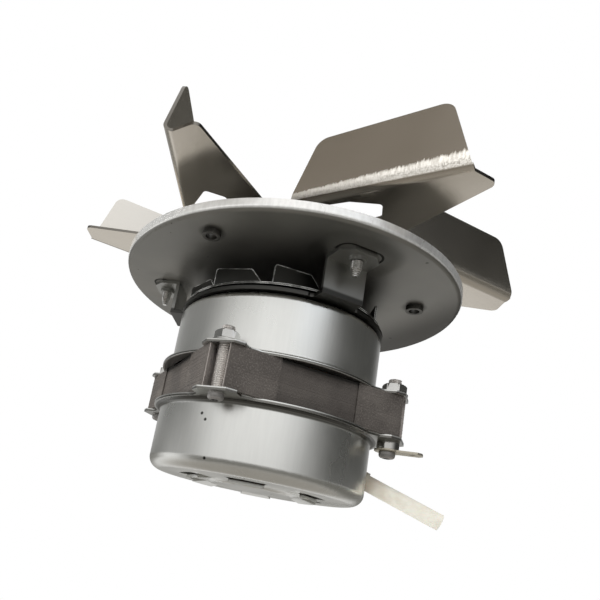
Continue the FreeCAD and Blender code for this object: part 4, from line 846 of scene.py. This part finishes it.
nut = turned("flange_nut", [
    (BOLT_RADIUS, EAR_HIGH), (NUT_FLANGE - 0.15 * MM, EAR_HIGH), (NUT_FLANGE, EAR_HIGH + 0.15 * MM),
    (NUT_FLANGE, EAR_HIGH + 0.6 * MM), (NUT_FLANGE - 0.2 * MM, EAR_HIGH + 0.8 * MM),
    (hexagon(NUT_FLATS, 2), EAR_HIGH + 1.2 * MM), (hexagon(NUT_FLATS, 2), EAR_HIGH + 3.7 * MM),
    (hexagon(NUT_FLATS, 1.06), EAR_HIGH + 4.05 * MM), (hexagon(NUT_FLATS, 0.97), EAR_HIGH + 4.2 * MM),
    (BOLT_RADIUS + 0.35 * MM, EAR_HIGH + 4.2 * MM), (BOLT_RADIUS, EAR_HIGH + 3.85 * MM)], segments=72, ring=True)
nuts = set_of_copies("flange_nuts", nut, BOLT_CIRCLE, (-45, 45, 135, 225), BRIGHT_ZINC)
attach(nuts, "root")
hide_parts("tie_bolt_nuts")

# Earth tab
# A blade terminal of tinned brass under the head of the near right bolt, held off the rear
# ear by a plain steel bush.

dress("earth_spacer", plated_finish("turned_bush", (0.60, 0.59, 0.56), (0.44, 0.43, 0.41), (0.12, 0.2)))
TINNED_BRASS = plated_finish("tinned_brass", (0.66, 0.63, 0.54), (0.50, 0.46, 0.37), (0.34, 0.46))
dress("earth_tab", TINNED_BRASS, 0.5 * EDGE_BREAK)

# Bearings
# Two ball bearings of hardened steel, pressed into seats drawn in the shells; a wavy spring
# under the rear one takes up the play.

GROUND_STEEL = plated_finish("ground_steel", (0.62, 0.61, 0.59), (0.5, 0.49, 0.48), (0.18, 0.28),
                             stretch=(0.05, 0.05, 1), specks=0.0)
for end in ("front", "rear"):
    for part in ("outer_ring", "inner_ring", "balls"):
        dress(f"{end}_bearing_{part}", GROUND_STEEL)
dress("preload_spring", GROUND_STEEL)

# Rotor
# The ground steel shaft carries a core of the same sheets as the stator's, with a cage and
# end rings of cast aluminium.

dress("motor_shaft", GROUND_STEEL)
dress("rotor_core", LAMINATIONS)
dress("rotor_end_rings", CAST_ALUMINIUM)

# Fan wheel
# Six arms of brushed stainless sheet, each with its blade bent up along one side. The bend has
# stretched the sheet's skin, which shows as a band of fine pale scores along the foot of a blade;
# its paleness is also a painted highlight, full on the first blade and faint on the others. A
# brownish painted shade lies along each bend.

WHEEL_TURN = radians(-56.8)
BEND_OFFSET = 45.8 * MM
BEND_FOOT = 16.2 * MM
BEND_TOP = 18.5 * MM
ARM_STEP = radians(60)
ARM_EDGE = radians(75)
ARM_REAR_EDGE = -38 * MM
BEND_SHADE_ZONE = ((14.6 * MM, 15.4 * MM), (18.8 * MM, 17.2 * MM), (-BEND_OFFSET + 4.2 * MM, -BEND_OFFSET + 3.0 * MM))
BLADE_SPAN = (20 * MM, 86 * MM)
SCORE_SIDE = (-BEND_OFFSET + 2.6 * MM, -BEND_OFFSET + 2.0 * MM)


def stainless_finish():
    material, tree, shader, spot = new_finish("brushed_stainless")
    arm, turn = sector(tree, xyz(tree, spot), WHEEL_TURN - ARM_EDGE, ARM_STEP, WHEEL_TURN)
    own = turned_back(tree, spot, turn)
    local = xyz(tree, own)
    skin = placed(tree, SHEET_SKIN, own, {"Stretch": (0.03, 1, 1), "Cloud Scale": 16.0, "Line Scale": 1900.0,
                                          "Relief": 0.008})
    colour = mix(tree, ramp(tree, skin["Clouds"], 0.3, 0.7), (0.67, 0.625, 0.55), (0.745, 0.695, 0.615))
    colour = mix(tree, ramp(tree, skin["Lines"], 0.35, 0.7, 0.0, 0.06), colour, (0.42, 0.39, 0.34))
    marks = placed(tree, HANDLING_MARKS, spot, {"Speck Share": 0.004, "Scratch Share": 0.006})
    colour = mix(tree, times(tree, marks["Marks"], 0.5), colour, (0.16, 0.14, 0.12))
    facing = xyz(tree, turned_back(tree, face_normal(tree), turn))
    upright, sideways = (calc(tree, "ABSOLUTE", facing[axis]) for axis in "ZY")
    at_bend = calc(tree, "LESS_THAN", local["Y"], ARM_REAR_EDGE)
    broad = add(tree, "Mix", {
        0: calc(tree, "GREATER_THAN", local["Z"], BEND_TOP),
        2: calc(tree, "MAXIMUM", upright, times(tree, sideways, at_bend)), 3: sideways}).outputs[0]
    colour = mix(tree, ramp(tree, broad, 0.6, 0.45), colour, (0.24, 0.225, 0.20))
    # Painted shade: a brownish darker zone along each bend, strongest on the first blade.
    bend = times(tree, *(ramp(tree, local[axis], *change) for axis, change in zip("ZZY", BEND_SHADE_ZONE)))
    first = calc(tree, "COMPARE", arm, 0.0, 0.1)
    colour = mix(tree, times(tree, bend, linear(tree, first, 0.5, 0.15)), colour, (0.40, 0.355, 0.30))
    scores = noise(tree, stretched(tree, own, (1.0, 1.0, 0.05)), 3200.0, 3.0)
    ragged = noise(tree, stretched(tree, own, (1.0, 0.2, 0.05)), 2600.0, 3.0)
    outward = add(tree, "MapRange", {0: local["X"], 1: BLADE_SPAN[0], 2: BLADE_SPAN[1]}).outputs[0]
    width = linear(tree, outward, 2.8 * MM, 2.5 * MM)
    foot = linear(tree, outward, -0.9 * MM, BEND_FOOT)
    share = calc(tree, "DIVIDE", less(tree, local["Z"], foot), width)
    uneven = linear(tree, less(tree, ragged, 0.5), 0.7, share)
    # The pale scores are real, and their paleness is also a painted highlight: full on the first blade, faint on the
    # others.
    band = times(tree, ramp(tree, share, -0.02, 0.06), ramp(tree, uneven, 1.0, 0.7),
                 ramp(tree, local["Y"], *SCORE_SIDE), linear(tree, first, 0.96, 0.04),
                 ramp(tree, scores, 0.35, 0.6, 0.45, 1.0), linear(tree, outward, 0.35, 0.7))
    colour = mix(tree, band, colour, (0.80, 0.765, 0.70))
    feed(tree, shader, {
        "Base Color": colour, "Metallic": linear(tree, band, -0.75, 1.0), "Normal": skin["Normal"],
        "Roughness": linear(tree, band, 0.25, ramp(tree, skin["Clouds"], 0.3, 0.7, 0.19, 0.25))})
    return material


dress("fan_wheel", stainless_finish())

# Wheel hub, washer and nut
# A turned steel hub on the shaft carries the wheel; a locking washer and a hexagon nut on
# the threaded shaft end clamp it.

dress("wheel_hub", GROUND_STEEL)
dress("wheel_washer", BRIGHT_ZINC)
WHEEL_NUT_FLATS = 13.0 * MM
NUT_LEVELS = (18.5 * MM, 25.0 * MM)
SHAFT_END_RADIUS = 4.0 * MM
low, high = NUT_LEVELS
wheel_nut = turned("wheel_nut", [
    (SHAFT_END_RADIUS, low), (hexagon(WHEEL_NUT_FLATS, 0.98), low), (hexagon(WHEEL_NUT_FLATS, 1.08), low + 0.3 * MM),
    (hexagon(WHEEL_NUT_FLATS, 2), low + 0.8 * MM), (hexagon(WHEEL_NUT_FLATS, 2), high - 0.8 * MM),
    (hexagon(WHEEL_NUT_FLATS, 1.08), high - 0.3 * MM), (hexagon(WHEEL_NUT_FLATS, 0.98), high),
    (SHAFT_END_RADIUS + 0.4 * MM, high), (SHAFT_END_RADIUS, high - 0.4 * MM)], segments=72, ring=True)
clamp_nut = set_of_copies("clamp_nut", wheel_nut, 0.0, (0,), BRIGHT_ZINC)
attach(clamp_nut, "rotor")
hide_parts("wheel_nut")

# Supply lead
# A short white sleeve of silicone-coated glass braid round the motor's three wires, led through
# a silicone grommet in the rear shell and cut off square.

LEAD_RADIUS = 3.25 * MM
LEAD_ANGLE = radians(-30)
WIRE_CIRCLE = 1.35 * MM
WIRE_INSIDE = -1.5 * MM
COAT_RADIUS = 1.05 * MM
CORE_RADIUS = 0.55 * MM
LEAD_ROUTE = [(18.0 * MM, -71.2 * MM), (33.0 * MM, -71.2 * MM), (54.0 * MM, -78.84 * MM), (73.0 * MM, -85.4 * MM)]
LEAD_POINTS = [(away * cos(LEAD_ANGLE), away * sin(LEAD_ANGLE), level) for away, level in LEAD_ROUTE]


def silicone_finish():
    material, tree, shader, spot = new_finish("white_silicone")
    dirt = noise(tree, spot, 120.0, 4.0)
    colour = mix(tree, ramp(tree, dirt, 0.42, 0.75), (0.74, 0.705, 0.615), (0.56, 0.51, 0.42))
    # Painted shade: the sleeve is darker and browner where it leaves the shell.
    shade_near_shell = round_place(tree, spot, LEAD_POINTS[1], 12 * MM, 20 * MM)
    colour = mix(tree, times(tree, shade_near_shell, 0.8), colour, (0.30, 0.26, 0.20))
    weave = add(tree, "TexVoronoi", {"Vector": spot, "Scale": 1100.0})
    feed(tree, shader, {"Base Color": colour, "Roughness": ramp(tree, dirt, 0.3, 0.7, 0.5, 0.65),
                        "Normal": relief(tree, 0.2, 0.2 * MM, weave.outputs["Distance"])})
    shader.inputs["Subsurface Weight"].default_value = 0.05
    return material


SILICONE = silicone_finish()
dress("lead_grommet", SILICONE)
route = bpy.data.curves.new("supply_lead", "CURVE")
route.dimensions = "3D"
line = route.splines.new("NURBS")
line.points.add(len(LEAD_POINTS) - 1)
for point, place in zip(line.points, LEAD_POINTS):
    point.co = (*place, 1)
line.order_u = 3
line.use_endpoint_u = True
line.resolution_u = 16
route.bevel_depth = LEAD_RADIUS
route.bevel_resolution = 8
route.use_fill_caps = True
route.materials.append(SILICONE)
lead = shown("supply_lead", route)
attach(lead, "root")
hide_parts("lead_sleeve")

end = Vector(LEAD_POINTS[-1])
aim = (end - Vector(LEAD_POINTS[-2])).normalized()
cores, coats = [], []
for number in range(3):
    angle = radians(120 * number + 25)
    place = Matrix.Translation(end) @ aim.to_track_quat("Z", "Y").to_matrix().to_4x4() @ Matrix.Translation(
        (WIRE_CIRCLE * cos(angle), WIRE_CIRCLE * sin(angle), 0))
    coats.append(turned("wire_coat", [
        (0, WIRE_INSIDE), (COAT_RADIUS, WIRE_INSIDE), (COAT_RADIUS, 0.10 * MM), (0.95 * MM, 0.16 * MM),
        (0, 0.16 * MM)], segments=20))
    cores.append(turned("wire_core", [
        (0, WIRE_INSIDE), (CORE_RADIUS, WIRE_INSIDE), (CORE_RADIUS, 0.22 * MM), (0, 0.28 * MM)], segments=14))
    coats[-1].transform(place)
    cores[-1].transform(place)


def wire_finish(name, first, second, metallic):
    material, tree, shader, spot = new_finish(name, metallic=metallic, roughness=0.45)
    fine = noise(tree, spot, 1800.0, 2.0)
    feed(tree, shader, {"Base Color": mix(tree, ramp(tree, fine, 0.35, 0.65), first, second)})
    return material


wire_coats = shown("wire_coats", joined_mesh("wire_coats", coats))
wire_coats.data.materials.append(wire_finish("wire_insulation", (0.62, 0.60, 0.55), (0.5, 0.48, 0.43), 0.0))
wire_cores = shown("wire_cores", joined_mesh("wire_cores", cores))
wire_cores.data.materials.append(wire_finish("cut_copper", (0.72, 0.38, 0.24), (0.5, 0.24, 0.14), 1.0))
for piece in (wire_coats, wire_cores):
    sharpened(piece)
    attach(piece, "root")

# Room
# A plain pale floor well below the part and white surroundings. Dim curved screens stand beside
# the part, above it and below it; they only show as reflections in the metal.

FLOOR_LEVEL = -0.32
FLOOR_RADIUS = 0.9
floor_mesh = bpy.data.meshes.new("floor")
floor_mesh.from_pydata(
    [(FLOOR_RADIUS * cos(radians(a)), FLOOR_RADIUS * sin(radians(a)), FLOOR_LEVEL)
     for a in range(0, 360, 5)], [], [list(range(72))])
floor = shown("floor", floor_mesh)
pale, _, shader, _ = new_finish("pale_floor", roughness=0.7)
shader.inputs["Base Color"].default_value = (0.78, 0.78, 0.77, 1)
floor_mesh.materials.append(pale)
floor.visible_glossy = False

world = bpy.data.worlds.new("studio")
bpy.context.scene.world = world
world.use_nodes = True
tree = world.node_tree
tree.nodes.clear()
path = add(tree, "LightPath").outputs
seen = path["Is Camera Ray"]
for ray in ("Is Glossy Ray", "Is Transmission Ray"):
    seen = calc(tree, "MAXIMUM", seen, path[ray])
sky = add(tree, "Background", {0: mix(tree, seen, (0.42, 0.43, 0.45), (1, 1, 1)), 1: 1.0})
add(tree, "OutputWorld", {0: sky.outputs[0]})

TARGET = Vector((0, 0, -0.03))


def direction(azimuth, elevation):
    """A unit vector; azimuth is measured from +X towards +Y."""
    a, e = radians(azimuth), radians(elevation)
    return Vector((cos(a) * cos(e), sin(a) * cos(e), sin(e)))


def screen(name, distance, azimuths, elevations, fades, tone, depth):
    """A curved screen whose edges fade over shares of its width and height."""
    columns, bands = 24, 12
    corners, faces, spots = [], [], []
    for row in range(bands + 1):
        for column in range(columns + 1):
            u, v = column / columns, row / bands
            corners.append(TARGET + distance * direction(
                azimuths[0] + u * (azimuths[1] - azimuths[0]), elevations[0] + v * (elevations[1] - elevations[0])))
            spots.append((u, v))
    for row in range(bands):
        for column in range(columns):
            first = row * (columns + 1) + column
            faces.append((first, first + columns + 1, first + columns + 2, first + 1))
    mesh = bpy.data.meshes.new(name)
    mesh.from_pydata(corners, [], faces)
    layer = mesh.uv_layers.new(name="spread")
    for loop in mesh.loops:
        layer.data[loop.index].uv = spots[loop.vertex_index]
    material, tree = new_material(name)
    spread = xyz(tree, add(tree, "UVMap", uv_map="spread").outputs[0])
    left, right, low, high = fades
    mask = depth
    for axis, near_edge, far_edge in (("X", left, right), ("Y", low, high)):
        mask = times(tree, mask, ramp(tree, spread[axis], 0.0, near_edge),
                     ramp(tree, spread[axis], 1.0, 1.0 - far_edge))
    clear = add(tree, "BsdfTransparent")
    dim = add(tree, "Emission", {0: tone})
    mixed = add(tree, "MixShader", {0: mask, 1: clear.outputs[0], 2: dim.outputs[0]})
    add(tree, "OutputMaterial", {0: mixed.outputs[0]})
    mesh.materials.append(material)
    piece = shown(name, mesh)
    piece.visible_camera = piece.visible_diffuse = piece.visible_shadow = False
    piece.visible_transmission = piece.visible_volume_scatter = False


screen("screen_right", 1.60, (-106, 62), (-2, 75), (0.40, 0.28, 0.05, 0.2), (0.045, 0.045, 0.042), 0.98)
screen("screen_right_middle", 1.54, (-64, -12), (26, 52), (0.3, 0.3, 0.25, 0.25), (0.02, 0.02, 0.018), 0.92)
screen("screen_right_high", 1.56, (-5, 85), (24, 75), (0.2, 0.2, 0.22, 0.2), (0.07, 0.068, 0.06), 0.95)
screen("screen_left", 1.64, (38, 214), (-2, 75), (0.52, 0.36, 0.05, 0.2), (0.12, 0.12, 0.115), 0.88)
screen("screen_high", 1.52, (158, 228), (22, 65), (0.2, 0.3, 0.22, 0.15), (0.205, 0.182, 0.155), 0.97)
screen("screen_low", 1.76, (-180, 180), (-90, -8), (0.001, 0.001, 0.001, 0.52), (0.29, 0.27, 0.24), 0.94)
screen("screen_low_front", 1.72, (-212, 45), (-46, 1), (0.12, 0.10, 0.4, 0.1), (0.13, 0.125, 0.11), 0.95)
screen("screen_low_back", 1.68, (12, 142), (-20, 7), (0.2, 0.2, 0.25, 0.22), (0.17, 0.165, 0.15), 0.95)
screen("bright_card", 1.48, (-104, -58), (18, 36), (0.35, 0.35, 0.35, 0.35), (1.30, 1.36, 1.46), 0.9)


def lamp(name, azimuth, elevation, distance, width, height, watts):
    """A soft rectangular lamp aimed at the motor and left out of reflections."""
    light = bpy.data.lights.new(name, "AREA")
    light.shape = "RECTANGLE"
    light.size, light.size_y = width, height
    light.energy = watts
    holder = shown(name, light)
    aim = direction(azimuth, elevation)
    holder.location = TARGET + aim * distance
    holder.rotation_mode = "QUATERNION"
    holder.rotation_quaternion = aim.to_track_quat("Z", "Y")
    holder.visible_glossy = False


lamp("window_front", -120, 30, 1.0, 0.5, 0.6, 5)
lamp("window_left", 165, 25, 1.0, 0.5, 0.7, 14)
lamp("ceiling", -60, 75, 1.2, 0.9, 0.9, 12)

# Camera
# Low in front of the part, looking up at the underside of the flange, with the photograph's frame.

HEADING, TILT, ROLL = (radians(angle) for angle in (16.54, 13.859, 11.937))
CAMERA_PLACE = (-0.09774, -0.20960, -0.10302)
PICTURE_WIDTH = 600
lens = bpy.data.cameras.new("camera")
lens.sensor_width = 36
lens.lens = 32.835
lens.shift_x = 110 / PICTURE_WIDTH
lens.shift_y = 80.4 / PICTURE_WIDTH
lens.clip_start = 0.01
camera = shown("camera", lens)
forward = Vector((sin(HEADING) * cos(TILT), cos(HEADING) * cos(TILT), sin(TILT)))
level_right = Vector((cos(HEADING), -sin(HEADING), 0))
level_up = level_right.cross(forward)
right = cos(ROLL) * level_right + sin(ROLL) * level_up
up = cos(ROLL) * level_up - sin(ROLL) * level_right
camera.matrix_world = Matrix.Translation(CAMERA_PLACE) @ Matrix((right, up, -forward)).transposed().to_4x4()
bpy.context.scene.camera = camera

bpy.context.scene.view_settings.view_transform = "Standard"
